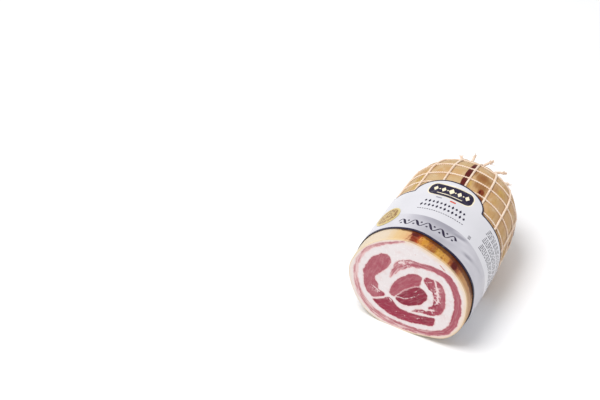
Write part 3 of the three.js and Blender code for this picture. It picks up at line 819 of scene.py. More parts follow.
def lean_meat(name):
    material, tree = new_material(name)
    streaks = painted(tree, "streaks")
    tone = swing(tree, painted(tree, "tone"), mottle(tree, 6, detail=3), 0.3)
    tone = swing(tree, tone, mottle(tree, 1.6, detail=3, seed=4), 0.24)
    tone = swing(tree, tone, grain_noise(tree, 2.2), streaks)
    pale = rise(tree, grain_noise(tree, 1.9, seed=7.0), 0.5, 0.6)
    pale = sums(tree, "MULTIPLY", pale, sums(tree, "MULTIPLY", streaks, streaks))
    flecks = sums(tree, "MULTIPLY", spots(tree, 2.6, 0.5, 0.6, detail=4, seed=9), painted(tree, "marbled"))
    seams = broken(tree, "seam", mottle(tree, 1.6, detail=3, seed=6), 1.2, -0.3, 0.25)
    edge = broken(tree, "from_edge", mottle(tree, 1.1, detail=3, seed=8), 2.6, 0.6, -0.2)
    colour = tinted(tree, ramp(tree, tone, LEAN_STOPS), [
        (pale, 0.9, "#e0c3c1"),
        (flecks, 0.85, "#e2c6c4"),
        (seams, 0.9, "#e8d2d0"),
        (edge, 0.75, "#dfbcb9")])
    grain = mottle(tree, 0.8, detail=3, seed=7)
    return finish_with(material, colour, [(grain, 0.15)], Roughness=0.48, Specular_IOR_Level=0.2)


fat_finish = cut_fat()
lean_rose = lean_meat("lean_rose")
lean_wine = lean_meat("lean_wine")
print("finishes made:", fat_finish.name, lean_rose.name, lean_wine.name)

# %% [markdown]
# ## Lean muscles as solids
# A muscle runs through the whole roll, so each becomes a closed solid: its part of the cut face,
# a wall that follows the roll back as its section changes, and an end that stays hidden inside the
# rounded end. The fat gets the same walls, turned inside out.

# %% Building the muscles
STATIONS = [60, 135, 172]
RIND_INSET = 2
DRAWN_IN = 1.4  # how fast the muscles draw together in the rounded end
LEAN_SLOTS = {"lean_spiral": "lean_light", "lean_left": "lean_light", "lean_eye": "lean_light",
              "lean_bottom": "lean_dark", "lean_core": "lean_dark", "lean_right": "lean_dark"}


def cut_place(flat, back):
    """Points of the cut face in the roll's frame, back from the knife's plane."""
    return np.stack([flat[:, 0], flat[:, 0] * CUT_SLOPE + back, flat[:, 1]], axis=1)


def followed(flat, y):
    """Where points of the cut face lie further along the roll."""
    x, z = flat[:, 0], flat[:, 1] - AXIS_HEIGHT
    angle = np.arctan2(z, x)
    share = (section_radius(y, angle) - RIND_INSET) / cut_radius(angle) * end_share(y) ** DRAWN_IN
    middle_x, middle_z = axis_at(y)
    return np.stack([
        middle_x + x * share * width_share(y), np.full(len(x), float(y)), middle_z + z * share], axis=1)


def join_rings(one, two):
    """Two triangles for each step between rings with the same number of points."""
    nxt, far = np.roll(one, -1), np.roll(two, -1)
    return np.vstack([np.stack([one, nxt, far], axis=1), np.stack([one, far, two], axis=1)])


def loop_cap(loop):
    _, triangles = triangulate(*join_paths([(loop, True)]))
    return triangles[inside(loop[triangles].mean(axis=1), loop)]


def shaft(loop, first_ring, start):
    """Wall behind an outline and its hidden end: new points, then faces."""
    points, faces, ring = [], [], first_ring
    for y in STATIONS:
        points.append(followed(loop, y))
        new_ring = np.arange(len(loop)) + start + len(loop) * (len(points) - 1)
        faces.append(join_rings(ring, new_ring))
        ring = new_ring
    faces.append(loop_cap(loop) + ring[0])
    return np.vstack(points), np.vstack(faces)


def ring_index(number):
    """The numbers of an outline's points among the face's points."""
    sizes = [RIM_SEGMENTS] + [len(loop) for loop in outlines.values()]
    return np.arange(sizes[number + 1]) + sum(sizes[:number + 1])


def build_muscle(number, name, loop):
    triangles = face_triangles[face_region == number]
    used, flat = np.unique(triangles, return_inverse=True)
    triangles = flat.reshape(-1, 3)
    ring = np.searchsorted(used, ring_index(number))
    front = cut_place(face_points[used], depth[used])
    wall, wall_faces = shaft(loop, ring, len(used))
    behind = np.tile(loop, (len(STATIONS), 1))
    values = lean_values(name, np.vstack([face_points[used], behind]))
    hidden = np.zeros(len(wall))
    values["seam"] = np.concatenate([seam[used], hidden + OUTSIDE])
    values["marbled"] = np.concatenate([marbled[used], hidden])
    values["from_edge"] = np.concatenate([lean_gap[used], hidden])
    finish = lean_rose if LEAN_SLOTS[name] == "lean_light" else lean_wine
    return make_piece(name + "_meat", np.vstack([front, wall]), np.vstack([triangles, wall_faces]),
                      [finish], values=values)


muscles = {name: build_muscle(number, name, outlines[name]) for number, name in enumerate(outlines)}

# %% [markdown]
# ## Rind
# Outside, the belly is closed by its rind, tanned and browned by the cure. Where the net shows, the
# meat swells between the strings like a quilt, in rounded cushions that sink under each string. The
# film holds it flat, and in front of the film the bare rind runs smoothly to a softly rounded cut
# edge. The colours follow the surface, so they are painted on the points by their place round
# and along the roll: golden patches, orange-brown burnt ones and dark wine-red streaks. The bare
# strip has a ramp of colours of its own, which runs round the roll.

# %% The net's spacing, which the rind has to follow
LONG_STRINGS = 15
LONG_PHASE = math.radians(6.4)
RING_FIRST = 92.3
RING_PITCH = 16.8
RINGS = 6
RING_LEAN = (3.5, math.radians(335), 84, 75)  # most, where round the roll, from where, over what length
LAST_RING = RING_FIRST + RING_PITCH * (RINGS - 1)
RIND_PRESSED = 0.5
RIND_UNDER_NET = 1.75
PILLOW_HEIGHT = 1.55
RIND_FLOOR = 1.9
RIND_WAVES = [(0.14, 7, 11), (0.07, 2.4, 12)]  # height, size and seed of each


def ring_lean(y, angle):
    """How far the rings, which sit a little askew, are pushed along the roll."""
    size, at, start, length = RING_LEAN
    return size * np.cos(angle - at) * np.sin(np.pi * np.clip((y - start) / length, 0, 1))


def net_level(y, angle):
    """Place along the roll with that lean taken out."""
    return y - ring_lean(y - ring_lean(y, angle), angle)


def beyond_film(y, angle):
    return y - band_far(angle)


def pillow(y, angle):
    across = np.abs(np.sin((angle - LONG_PHASE) * LONG_STRINGS / 2))
    along = np.abs(np.sin(np.pi * (net_level(y, angle) - RING_FIRST) / RING_PITCH))
    shown = smooth(beyond_film(y, angle), 0, 8) * (1 - smooth(y, LAST_RING - 2, LAST_RING))
    return PILLOW_HEIGHT * shown * (across * along) ** 0.5


def string_gap(y, angle):
    """Distance from the nearest string, in millimetres, for places beyond the film."""
    share = (angle - LONG_PHASE) * LONG_STRINGS / (2 * np.pi)
    reach = section_radius(y, angle) * end_share(np.minimum(y, ROLL_LENGTH - 1))
    from_long = np.abs(share - np.round(share)) * 2 * np.pi / LONG_STRINGS * reach
    rings = (net_level(y, angle) - RING_FIRST) / RING_PITCH
    from_ring = np.abs(rings - np.clip(np.round(rings), 0, RINGS - 1)) * RING_PITCH
    return np.where(y > LAST_RING + 2, 9, np.minimum(from_long, from_ring))


def rind_place(y, angle):
    # It sinks just in front of the film, and further where the strings start beneath it.
    behind = y - band_near(angle)
    pressed = smooth(behind, -3, -1)
    inset = smooth(behind, 2, 9)
    lift = pillow(y, angle) - blend(RIND_PRESSED * pressed, RIND_UNDER_NET, inset)
    waves = uneven(envelope(y, angle).reshape(-1, 3), RIND_WAVES)
    lift = lift + waves.reshape(lift.shape) * smooth(y, 0, 4)
    points = lay(y, angle, lift, blend(pressed, RIND_FLOOR, inset))
    points[..., 1] += points[..., 0] * CUT_SLOPE * (1 - smooth(y, 0, CUT_YAW_REACH))
    return points


# %% Painted colours of the rind
TURN_START = -150  # the painted turn runs round the roll from here
BARE_STOPS = [  # degrees round, colour of the bare rind in front of the film
    (-75, "#d2bf9f"), (-25, "#c49e74"), (15, "#bd8e66"), (33, "#b9885a"), (37, "#b07a48"), (40, "#9c5632"),
    (43, "#70261a"), (49, "#601c12"), (50.8, "#9a4410"), (53, "#ba8440"), (60, "#c8923e"), (66, "#b98a2c"),
    (70, "#8c4a16"), (74, "#a8661c"), (78, "#c08428"), (82, "#c98a34"), (83.5, "#a43e02"), (87, "#862800"),
    (90, "#741c02"), (93.5, "#84300f"), (95.5, "#d0a070"), (101, "#d4b07e"), (108, "#d6b684"),
    (118, "#d6c5ae"), (134, "#d8c8b2"), (165, "#d6c6aa"), (209, "#d2bf9f")]
PATCHES = {  # degrees round, millimetres along, half widths of both, strength
    "golden": [(131, 108, 6, 24, 0.5), (147, 120, 9, 20, 0.4), (65, 135, 9, 8, 0.5), (75, 117, 3.5, 9, 0.5),
               (42, 133, 7, 7, 0.5), (45, 119, 8, 9, 0.3), (41, 100, 9, 8, 0.35), (20, 100, 9, 8, 0.25)],
    "burnt": [(60.5, 114, 4.2, 6, 1.3), (59, 104, 6, 6, 1.15), (66, 134, 10, 9, 0.85),
              (75.5, 139, 2.5, 8, 0.7), (64, 121, 10, 8, 0.75), (50, 133, 5, 8, 0.45), (70, 160, 9, 8, 0.3)],
    "wine": [(81.8, 130, 3.6, 27, 1.3), (90.5, 13, 4.2, 3.5, 0.8), (62, 113, 2.0, 4, 0.6),
             (46.5, 7, 3.6, 7, 0.75), (100, 176, 5, 7, 0.6)],
    "browned": [(58, 12, 13, 4, 0.7), (20, 14, 24, 5, 0.5)],
}
HIDDEN_PATCHES = {"golden": 14, "burnt": 9, "wine": 3, "browned": 0}


def more_patches(kind, count):
    """Patches for the sides that the photograph doesn't show, by the same habits."""
    rng = np.random.default_rng(len(kind))
    wide, tall = ((3, 5), (10, 22)) if kind == "wine" else ((7, 15), (6, 14))
    ranges = [(165, 375), (92, 178), wide, tall, (0.5, 0.95)]
    return [tuple(rng.uniform(low, high) for low, high in ranges) for _ in range(count)]


def patch_strength(kind, y, angle):
    degrees = np.degrees(angle) % 360
    total = np.zeros(y.shape)
    for at, along, wide, tall, strength in PATCHES[kind] + more_patches(kind, HIDDEN_PATCHES[kind]):
        turn = np.abs(degrees - at % 360)
        turn = np.minimum(turn, 360 - turn)
        off = (turn / wide) ** 2 + ((y - along) / tall) ** 2
        total = np.maximum(total, strength * np.exp(-off ** 1.5))
    return total


def facing(angle, degrees, low, high):
    """1 on the side of the roll that faces this way round, 0 on the far side."""
    return smooth(np.cos(angle - math.radians(degrees)), low, high)


def rind_values(y, angle):
    """Where each colour of the rind shows, from 0 to 1."""
    behind = y - band_near(angle)
    values = {name: patch_strength(name, y, angle) for name in PATCHES}
    values["bare"] = 1 - smooth(behind, 0, 20)
    values["turn"] = ((np.degrees(angle) - TURN_START) % 360) / 360
    values["under"] = facing(angle, 235, 0.5, 0.8)
    values["tanned"] = facing(angle, 5, 0.1, 0.7)
    values["toasted"] = facing(angle, 66, 0.82, 0.95)
    # Painted shadow of the film's near edge on the bare rind, wider on the left shoulder.
    beside_film = smooth(behind, -5, -1) * (1 - smooth(behind, 4, 9))
    left_shoulder = 0.9 * np.exp(-((np.degrees(angle) - 138) / 13) ** 2)
    values["hemmed"] = beside_film * np.maximum(facing(angle, 60, 0.5, 0.8), left_shoulder)
    values["rimmed"] = 1 - smooth(y, 0.4, 2.2)
    # Painted shade on the rind close beside each string, where the string shades the cushions.
    values["creased"] = (1 - smooth(string_gap(y, angle), 0.6, 2.8)) * smooth(beyond_film(y, angle), -1, 1)
    return values


def netted_rind(tree, streaks):
    """Tanned rind behind the film, mottled and streaked along the roll."""
    base = mixed(tree, painted(tree, "tanned"), ink("#c3a67c"), ink("#c49e72"))
    return tinted(tree, base, [
        (spots(tree, 22, 0.45, 0.65, detail=3), 1.0, "#c09a6a"),
        (rise(tree, streaks, 0.5, 0.72), 0.45, "#b58c5c"),
        (spots(tree, 8, 0.5, 0.68, detail=4, seed=15), 0.5, "#cdb694")])


def bare_rind(tree, streaks):
    """The strip in front of the film, with its own colours round the roll."""
    turn = swing(tree, painted(tree, "turn"), streaks, 0.03)
    turn = swing(tree, turn, mottle(tree, 1.3, detail=3, seed=2), 0.018)
    bare = ramp(tree, turn, [((degrees - TURN_START) / 360, code) for degrees, code in BARE_STOPS])
    dark = spots(tree, 2.2, 0.52, 0.62, detail=4, stretch=(1, 0.5, 1), seed=14)
    return tinted(tree, bare, [
        (painted(tree, "under"), 1.0, "#d2bf9f"),
        (spots(tree, 3.5, 0.42, 0.62, detail=4, seed=10), 0.1, "#d6b484"),
        (sums(tree, "MULTIPLY", dark, painted(tree, "toasted")), 0.6, "#7a3a16"),
        (painted(tree, "browned"), 0.5, "#8f5a30"),
        (painted(tree, "rimmed"), 0.5, "#e2cda6")])


def rind_finish():
    material, tree = new_material("cured_rind")
    streaks = mottle(tree, 3.2, detail=4, stretch=(1, 0.22, 1), seed=3)
    colour = mixed(tree, painted(tree, "bare"), netted_rind(tree, streaks), bare_rind(tree, streaks))
    ochre = mixed(tree, spots(tree, 4, 0.4, 0.6, detail=3, seed=9), ink("#ab8140"), ink("#bd9c4c"))
    colour = mixed(tree, broken(tree, "golden", streaks, 0.6, 0.1, 0.7), colour, ochre)
    scorched = mixed(tree, rise(tree, painted(tree, "burnt"), 0.75, 1.05), ink("#96673a"), ink("#7a3414"))
    colour = mixed(tree, broken(tree, "burnt", streaks, 0.6, 0.14, 0.8), colour, scorched)
    wine = broken(tree, "wine", mottle(tree, 4, detail=4, seed=6), 0.4, 0.3, 0.6)
    # The painted shadow in front of the film's near edge, broken up by noise.
    edge_shadow = swing(tree, painted(tree, "hemmed"), streaks, 0.9)
    edge_shadow = rise(tree, swing(tree, edge_shadow, mottle(tree, 1.5, detail=4, seed=16), 0.9), 0.3, 0.75)
    colour = tinted(tree, colour, [
        (wine, 1.0, "#56100b"),
        (edge_shadow, 0.75, "#521e0e"),
        # painted shade beside each string
        (painted(tree, "creased"), 0.28, "#86602f")])
    pores = mottle(tree, 0.9, detail=3, seed=7)
    skin = mottle(tree, 4, detail=3, seed=8)
    return finish_with(material, colour, [(skin, 0.25), (pores, 0.1)], Roughness=0.5, Specular_IOR_Level=0.22)


# %% Building the fat and its rind in one piece
ROW_STEP = 1.4


def rind_rows():
    straight = np.arange(RIM_ROUNDING[-1][1] + ROW_STEP, ROLL_LENGTH - END_DEPTH, ROW_STEP)
    return np.concatenate([straight, dome_rows(70)[:-1]])


def fat_shell():
    """Cut face, hollows and rind: points, faces, and how many of both come before the rind."""
    points, faces = [cut_place(face_points, depth)], [face_triangles[face_region == -1]]
    total = len(face_points)
    for number, loop in enumerate(outlines.values()):
        wall, wall_faces = shaft(loop, ring_index(number), total)
        points.append(wall)
        faces.append(wall_faces)
        total += len(wall)
    before_rind = total, sum(len(part) for part in faces)
    rows = [cut_place(rim_loop(inset), np.full(RIM_SEGMENTS, back)) for inset, back in RIM_ROUNDING[1:]]
    y, angle = np.meshgrid(rind_rows(), RIM_ANGLES, indexing="ij")
    rows += list(rind_place(y, angle))
    ring = np.arange(RIM_SEGMENTS)
    for row in rows:
        new_ring = np.arange(RIM_SEGMENTS) + total
        points.append(row)
        faces.append(join_rings(ring, new_ring))
        ring = new_ring
        total += RIM_SEGMENTS
    points.append([[AXIS_DRIFT[0], RIND_POLE, AXIS_HEIGHT + AXIS_DRIFT[1]]])
    faces.append(np.stack([ring, np.roll(ring, -1), np.full(RIM_SEGMENTS, total)], axis=1))
    places = np.vstack(points)
    # The roll lies flat on the table along its underside.
    places[:, 2] = np.maximum(places[:, 2], 0)
    return places, np.vstack(faces), before_rind


def fat_values(places, on_rind):
    """The rind's values by place round and along the roll, and the cut face's own."""
    near = places[:, 1] < CUT_YAW_REACH
    along = np.where(on_rind, places[:, 1] - places[:, 0] * CUT_SLOPE * near, 0)
    middle_x, middle_z = axis_at(along)
    turn = np.arctan2(places[:, 2] - middle_z, (places[:, 0] - middle_x) / width_share(along))
    values = rind_values(along, turn)
    # The cream fades towards the left: painted light, for the lamp on that side.
    values["creamed"] = blend(0.45, 1.0, smooth(places[:, 0], -40, 20))
    from_lean = np.where(in_lean, 0, lean_gap)
    on_face = {
        "from_rim": (rim_gap, 0), "from_lean": (from_lean, 0), "stain": (stain, OUTSIDE), "skin": (skin, 0)}
    for title, (numbers, elsewhere) in on_face.items():
        values[title] = np.full(len(places), float(elsewhere))
        values[title][:len(numbers)] = numbers
    return values


def build_fat():
    places, faces, (first_point, first_face) = fat_shell()
    values = fat_values(places, np.arange(len(places)) >= first_point)
    kind = np.arange(len(faces)) >= first_face
    used, flat = np.unique(faces, return_inverse=True)
    values = {name: numbers[used] for name, numbers in values.items()}
    return make_piece("fat_and_rind", places[used], flat.reshape(-1, 3), [fat_finish, rind_finish()],
                      kind, values)


fat_piece = build_fat()

# %% [markdown]
# ## String net
# The net is knitted from cotton string: fifteen strings run along the roll and a ring string
# crosses them every 17 mm, with a small hitch at each crossing. All of them follow the roll's
# surface, which is what Geometry Nodes are for: the script lays plain paths on the surface, and one
# tree turns any path into twisted string, ply by ply. A second tree ties the hitches. Behind the
# last ring, each long string ends in a short cut end that curls up and frays at its tip.

# %% A tree that spins string along paths
def new_tree(name, numbers, counts=()):
    """A tree that is given geometry, a finish, some numbers and some counts."""
    tree = bpy.data.node_groups.new(name, "GeometryNodeTree")
    kinds = {"Geometry": "Geometry", "Finish": "Material"}
    kinds |= {title: "Float" for title in numbers} | {title: "Int" for title in counts}
    for title, kind in kinds.items():
        tree.interface.new_socket(title, in_out="INPUT", socket_type="NodeSocket" + kind)
    tree.interface.new_socket("Geometry", in_out="OUTPUT", socket_type="NodeSocketGeometry")
    return tree, add(tree, "NodeGroupInput").outputs


def tube(tree, path, sides, radius):
    section = add(tree, "GeometryNodeCurvePrimitiveCircle", {"Resolution": sides, "Radius": radius})
    return add(tree, "GeometryNodeCurveToMesh", {
        "Curve": path, "Profile Curve": section.outputs[0], "Fill Caps": True}).outputs[0]


def end_tree(tree, made, finish):
    real = add(tree, "GeometryNodeRealizeInstances", {"Geometry": made})
    dressed = add(tree, "GeometryNodeSetMaterial", {"Geometry": real.outputs[0], "Material": finish})
    add(tree, "NodeGroupOutput", {"Geometry": dressed.outputs[0]})
    return tree


def spin_tree():
    tree, given = new_tree("spin_string", [
        "Ply radius", "Lay radius", "Turns per metre", "Step", "Unevenness", "Seed"], ["Plies"])
    paths = add(tree, "GeometryNodeMeshToCurve", {"Mesh": given["Geometry"]})
    paths = add(tree, "GeometryNodeResampleCurve", {"Curve": paths.outputs[0], "Length": given["Step"]},
                mode="LENGTH")
    plies = add(tree, "GeometryNodeDuplicateElements", {
        "Geometry": paths.outputs[0], "Amount": given["Plies"]}, domain="SPLINE")
    length = add(tree, "GeometryNodeSplineParameter").outputs["Length"]
    share = sums(tree, "DIVIDE", plies.outputs["Duplicate Index"], given["Plies"])
    turns = sums(tree, "ADD", sums(tree, "MULTIPLY", length, given["Turns per metre"]), share)
    angle = sums(tree, "MULTIPLY", turns, 2 * math.pi)
    normal = add(tree, "GeometryNodeInputNormal").outputs[0]
    tangent = add(tree, "GeometryNodeInputTangent").outputs[0]
    beside = vector_sums(tree, "CROSS_PRODUCT", tangent, normal)
    one = vector_sums(tree, "SCALE", normal, sums(tree, "COSINE", angle))
    two = vector_sums(tree, "SCALE", beside, sums(tree, "SINE", angle))
    circle = vector_sums(tree, "SCALE", vector_sums(tree, "ADD", one, two), given["Lay radius"])
    cloud = add(tree, "ShaderNodeTexNoise", {"W": given["Seed"], "Scale": 160.0}, noise_dimensions="4D")
    centred = vector_sums(tree, "SUBTRACT", cloud.outputs["Color"], (0.5, 0.5, 0.5))
    shake = vector_sums(tree, "SCALE", centred, given["Unevenness"])
    moved = add(tree, "GeometryNodeSetPosition", {
        "Geometry": plies.outputs["Geometry"], "Offset": vector_sums(tree, "ADD", circle, shake)})
    strings = tube(tree, moved.outputs[0], 6, given["Ply radius"])
    return end_tree(tree, strings, given["Finish"])


def hitch_tree():
    tree, given = new_tree("tie_hitches", ["Loop radius", "String radius"])
    loop = add(tree, "GeometryNodeCurvePrimitiveCircle", {"Resolution": 12, "Radius": given["Loop radius"]})
    wrap = tube(tree, loop.outputs[0], 5, given["String radius"])
    along = add(tree, "GeometryNodeInputNamedAttribute", {"Name": "along"}, data_type="FLOAT_VECTOR")
    turned = add(tree, "FunctionNodeAlignRotationToVector", {"Vector": along.outputs[0]}, axis="Z")
    wraps = add(tree, "GeometryNodeInstanceOnPoints", {
        "Points": given["Geometry"], "Instance": wrap, "Rotation": turned.outputs[0]})
    return end_tree(tree, wraps.outputs[0], given["Finish"])


def grown(name, carrier, tree, inputs):
    """Runs a node tree on a carrier mesh and keeps the result as a plain mesh object."""
    holder = new_object(name, carrier)
    modifier = holder.modifiers.new(tree.name, "NODES")
    modifier.node_group = tree
    for item in tree.interface.items_tree:
        if item.in_out == "INPUT" and item.name in inputs:
            modifier[item.identifier] = inputs[item.name]
    seen = holder.evaluated_get(bpy.context.evaluated_depsgraph_get())
    mesh = bpy.data.meshes.new_from_object(seen)
    holder.modifiers.remove(modifier)
    holder.data = mesh
    mesh.shade_smooth()
    return holder


SPIN = spin_tree()
HITCH = hitch_tree()
print("trees made:", SPIN.name, "and", HITCH.name)

# %% Cotton, and paths for the strings
STRING_DEPTH = 0.5
RING_DEPTH = 0.8
DEPTH_UNDER_FILM = 1.6
STRING_START = 9.5
STRING_STEP = 2.0
STRING_STOP = 1.2  # how far before the last ring the long strings of the net stop
RING_POINTS = 360
NET_DRIFT = 0.35
LOOSE_END = (8, 16)
FIBRES_PER_END = 20
FLOOR_UNDER_FILM = 1.7
FLOOR_IN_OPEN = 1.15


def cotton():
    material, tree = new_material("net_cotton")
    colour = mixed(tree, spots(tree, 9, 0.35, 0.65, detail=3), ink("#f0dcc8"), ink("#e8cbb2"))
    colour = mixed(tree, spots(tree, 1.2, 0.5, 0.8, seed=2), colour, ink("#f3eadc"))
    fibres = mottle(tree, 0.3, detail=3, stretch=(1, 1, 0.4), seed=4)
    return finish_with(material, colour, [(fibres, 0.12)], Roughness=0.85, Specular_IOR_Level=0.25,
                       Sheen_Weight=0.3, Sheen_Roughness=0.5)


def long_angle(j):
    return LONG_PHASE + 2 * math.pi * j / LONG_STRINGS


def string_points(y, angle, sunk):
    """Places for a string's middle, sunk deeper and lifted off the table where the film covers it."""
    free = smooth(beyond_film(y, angle), 0.5, 5)
    return lay(y, angle, -blend(DEPTH_UNDER_FILM, sunk, free), blend(FLOOR_UNDER_FILM, FLOOR_IN_OPEN, free))


def long_paths():
    paths = []
    end = dome_rows(60)
    for j in range(LONG_STRINGS):
        angle = long_angle(j)
        start = np.arange(band_near(angle) + STRING_START, ROLL_LENGTH - END_DEPTH, STRING_STEP)
        y = np.concatenate([start, end[end < LAST_RING - STRING_STOP]])
        paths.append((string_points(y, angle, STRING_DEPTH), False))
    return paths


def ring_y(i, angle):
    y = RING_FIRST + RING_PITCH * i
    return y + ring_lean(y, angle)


def ring_path(i):
    turn = 2 * np.pi * np.arange(RING_POINTS) / RING_POINTS
    drift = soft_noise(np.stack([turn * 9, turn * 0 + i], axis=1), 2, 21)
    return string_points(ring_y(i, turn) + NET_DRIFT * drift, turn, RING_DEPTH), True


def loose_path(j, points=14):
    """A cut end: it leaves the last ring string along the roll and curls up off the meat."""
    y, angle = np.array([LAST_RING]), np.array([long_angle(j)])
    around, along = (unit(v)[0] for v in slopes(y, angle))
    normal = outward(y, angle)[0]
    root = string_points(y, angle, STRING_DEPTH)[0]
    # Lengths and bends vary from string to string by a plain rule.
    length = blend(*LOOSE_END, 0.5 + 0.5 * math.sin(j - 1.43))
    bend = -0.85 * max(0, math.sin(0.9 * (j - 0.2)))
    t = np.linspace(0, 1, points)[:, None]
    path = root + along * (length * t * (0.7 - 0.25 * t)) + normal * length * 0.75 * t ** 1.4
    return path + around * length * bend * t * t


def fray_paths(j):
    """Fibres that open out from a cut end."""
    rng = np.random.default_rng(70 + j)
    path = loose_path(j)
    start, ahead = path[-4], unit(path[-1] - path[-5])
    paths = []
    for _ in range(FIBRES_PER_END):
        spread = rng.normal(0, 0.3, 3)
        reach = rng.uniform(2.4, 4.6)
        t = np.linspace(0, 1, 6)[:, None]
        curl = rng.normal(0, 0.7, 3)
        paths.append((start + rng.normal(0, 0.45, 3) + (ahead + spread) * reach * t + curl * t * t, False))
    return paths


def knot_places(j):
    """Two turns of string that hold a cut end together."""
    path = loose_path(j)
    return [(path[k], unit(path[k + 1] - path[k - 1])) for k in (-6, -5)]


def crossing_places(rings):
    places = []
    for i, j in itertools.product(rings, range(LONG_STRINGS)):
        angle = np.array([long_angle(j)])
        y = ring_y(i, angle)
        places.append((string_points(y, angle, STRING_DEPTH + 0.1)[0], unit(slopes(y, angle)[1][0])))
    return places


def carrier_mesh(name, paths):
    points, edges = join_paths(paths)
    mesh = bpy.data.meshes.new(name)
    mesh.from_pydata(to_row(points).tolist(), edges, [])
    return mesh


def hitch_mesh(name, places):
    mesh = bpy.data.meshes.new(name)
    mesh.from_pydata(to_row([place for place, _ in places]).tolist(), [], [])
    layer = mesh.attributes.new("along", "FLOAT_VECTOR", "POINT")
    layer.data.foreach_set("vector", np.concatenate([ahead for _, ahead in places]).astype(np.float32))
    return mesh


# %% Spinning the net
COTTON = cotton()
# The trees work in metres.
LONG_STRING = {"Ply radius": 0.00064, "Lay radius": 0.00064, "Plies": 3, "Turns per metre": 150.0,
               "Step": 0.0011, "Unevenness": 0.0004, "Seed": 1.0, "Finish": COTTON}
RING_STRING = {"Ply radius": 0.00058, "Lay radius": 0.00046, "Plies": 2, "Turns per metre": 210.0,
               "Step": 0.001, "Unevenness": 0.0003, "Seed": 2.0, "Finish": COTTON}
END_STRING = LONG_STRING | {"Ply radius": 0.00078, "Lay radius": 0.00075}
FIBRE = {"Ply radius": 0.0003, "Lay radius": 0.0, "Plies": 1, "Turns per metre": 0.0,
         "Step": 0.0008, "Unevenness": 0.0005, "Seed": 3.0, "Finish": COTTON}
HITCH_SIZES = {"Loop radius": 0.00115, "String radius": 0.00048, "Finish": COTTON}


def join_all(name, parts):
    work = bmesh.new()
    for part in parts:
        work.from_mesh(part.data)
        bpy.data.objects.remove(part)
    bmesh.ops.recalc_face_normals(work, faces=work.faces)
    for vert in work.verts:
        vert.co.z = max(vert.co.z, 0)
    mesh = bpy.data.meshes.new(name)
    work.to_mesh(mesh)
    work.free()
    mesh.materials.append(COTTON)
    mesh.shade_smooth()
    print(name, "has", len(mesh.polygons), "faces")
    return new_object(name, mesh)


def spun(name, paths, sizes):
    return grown(name, carrier_mesh(name, paths), SPIN, sizes)


def tied(name, places):
    return grown(name, hitch_mesh(name, places), HITCH, HITCH_SIZES)


def spin_net():
    inner_rings = range(RINGS - 1)
    return join_all("string_net", [
        spun("long_strings", long_paths(), LONG_STRING),
        spun("ring_strings", [ring_path(i) for i in inner_rings], RING_STRING),
        tied("hitches", crossing_places(inner_rings))])


def spin_ends():
    last = RINGS - 1
    fibres = [fibre for j in range(LONG_STRINGS) for fibre in fray_paths(j)]
    knots = [place for j in range(LONG_STRINGS) for place in knot_places(j)]
    return join_all("cut_string_ends", [
        spun("end_strings", [(loose_path(j), False) for j in range(LONG_STRINGS)], END_STRING),
        spun("end_ring", [ring_path(last)], RING_STRING),
        spun("end_fibres", fibres, FIBRE),
        tied("end_hitches", crossing_places([last]) + knots)])


net_piece = spin_net()
ends_piece = spin_ends()

# %% [markdown]
# ## Printed film band
# The band is a strip of plastic film with an arched tab. Its print is silver along the near edge,
# white above it, with dark blue edge lines and a few printed marks. Instead of an image, the print
# is made like the cut face: every printed shape is an outline that the triangulation keeps, and the
# triangles inside it get that ink. So each edge is sharp at any size. The marks themselves are
# plain: a rounded plaque with lozenges, rows of lozenges and dots, a wave and broken grey bars.
# A few folds raise the film a little, with painted shade in them and painted highlights beside them.
# The silver has a painted reflection, the white a painted shade, and the near edge line also paints the
# edge's shadow.

# %% Outlines of the print
GIRTH_STEP = 1.09  # millimetres round the roll for each degree
SEAM_ANGLE = -90


def degrees_to_flat(degrees, y):
    return np.stack([degrees * GIRTH_STEP, y], axis=1)


def mark_at(shape, degrees, y):
    """A shape drawn about its own middle, with its right towards smaller angles."""
    return np.stack([degrees * GIRTH_STEP - shape[:, 0], y + shape[:, 1]], axis=1)


def rounded_box(width, height, radius, steps=6):
    corners = []
    for k, (sx, sy) in enumerate([(1, 1), (-1, 1), (-1, -1), (1, -1)]):
        turn = np.linspace(0, math.pi / 2, steps) + k * math.pi / 2
        middle = np.array([sx * (width / 2 - radius), sy * (height / 2 - radius)])
        corners.append(middle + radius * round_points(turn))
    return np.vstack(corners)


def lozenge(width, height):
    return np.array([(width / 2, 0), (0, height / 2), (-width / 2, 0), (0, -height / 2)])


def dot(radius, sides=12):
    return radius * round_points(np.linspace(0, 2 * math.pi, sides, endpoint=False))


# %% The marks
PLAQUE = (86, 92.5)  # degrees round, millimetres along
PLAQUE_STEP = 8.6
LOZENGE_STEP = 4.1
DASH_STEP = 2.45
WAVE_ENDS = (116, 57)
WAVE_AT = 31.6
WAVE_BENDS = 9
WAVE_HEIGHT = 3.9
PEN_WIDTHS = (1.1, 1.6)  # the thin slope, and what the thick one has more
PRINT_BLOCKS = (49, 60.5, 72)
PRINT_ENDS = (37.0, -16)
PRINT_LINES = 4
PRINT_STEP = 2.5
PRINT_HEIGHT = 1.1
NAVY, CREAM, GREY, SLATE, RED = "navy", "cream", "grey", "slate", "red"


def plaque_marks():
    at, along = PLAQUE
    marks = [(CREAM, mark_at(rounded_box(54, 20.5, 8), at, along)),
             (NAVY, mark_at(rounded_box(51.6, 18.2, 7), at, along))]
    for k in range(-2, 3):
        tall = 9.4 if k == 0 else 7.6
        marks.append((CREAM, mark_at(lozenge(tall * 0.72, tall), at - k * PLAQUE_STEP, along + 1)))
    for k in range(-1, 3):
        marks.append((CREAM, mark_at(dot(0.9), at - (k - 0.5) * PLAQUE_STEP, along + 1)))
    marks.append((CREAM, mark_at(rounded_box(30, 0.9, 0.4), at, along - 5.6)))
    return marks


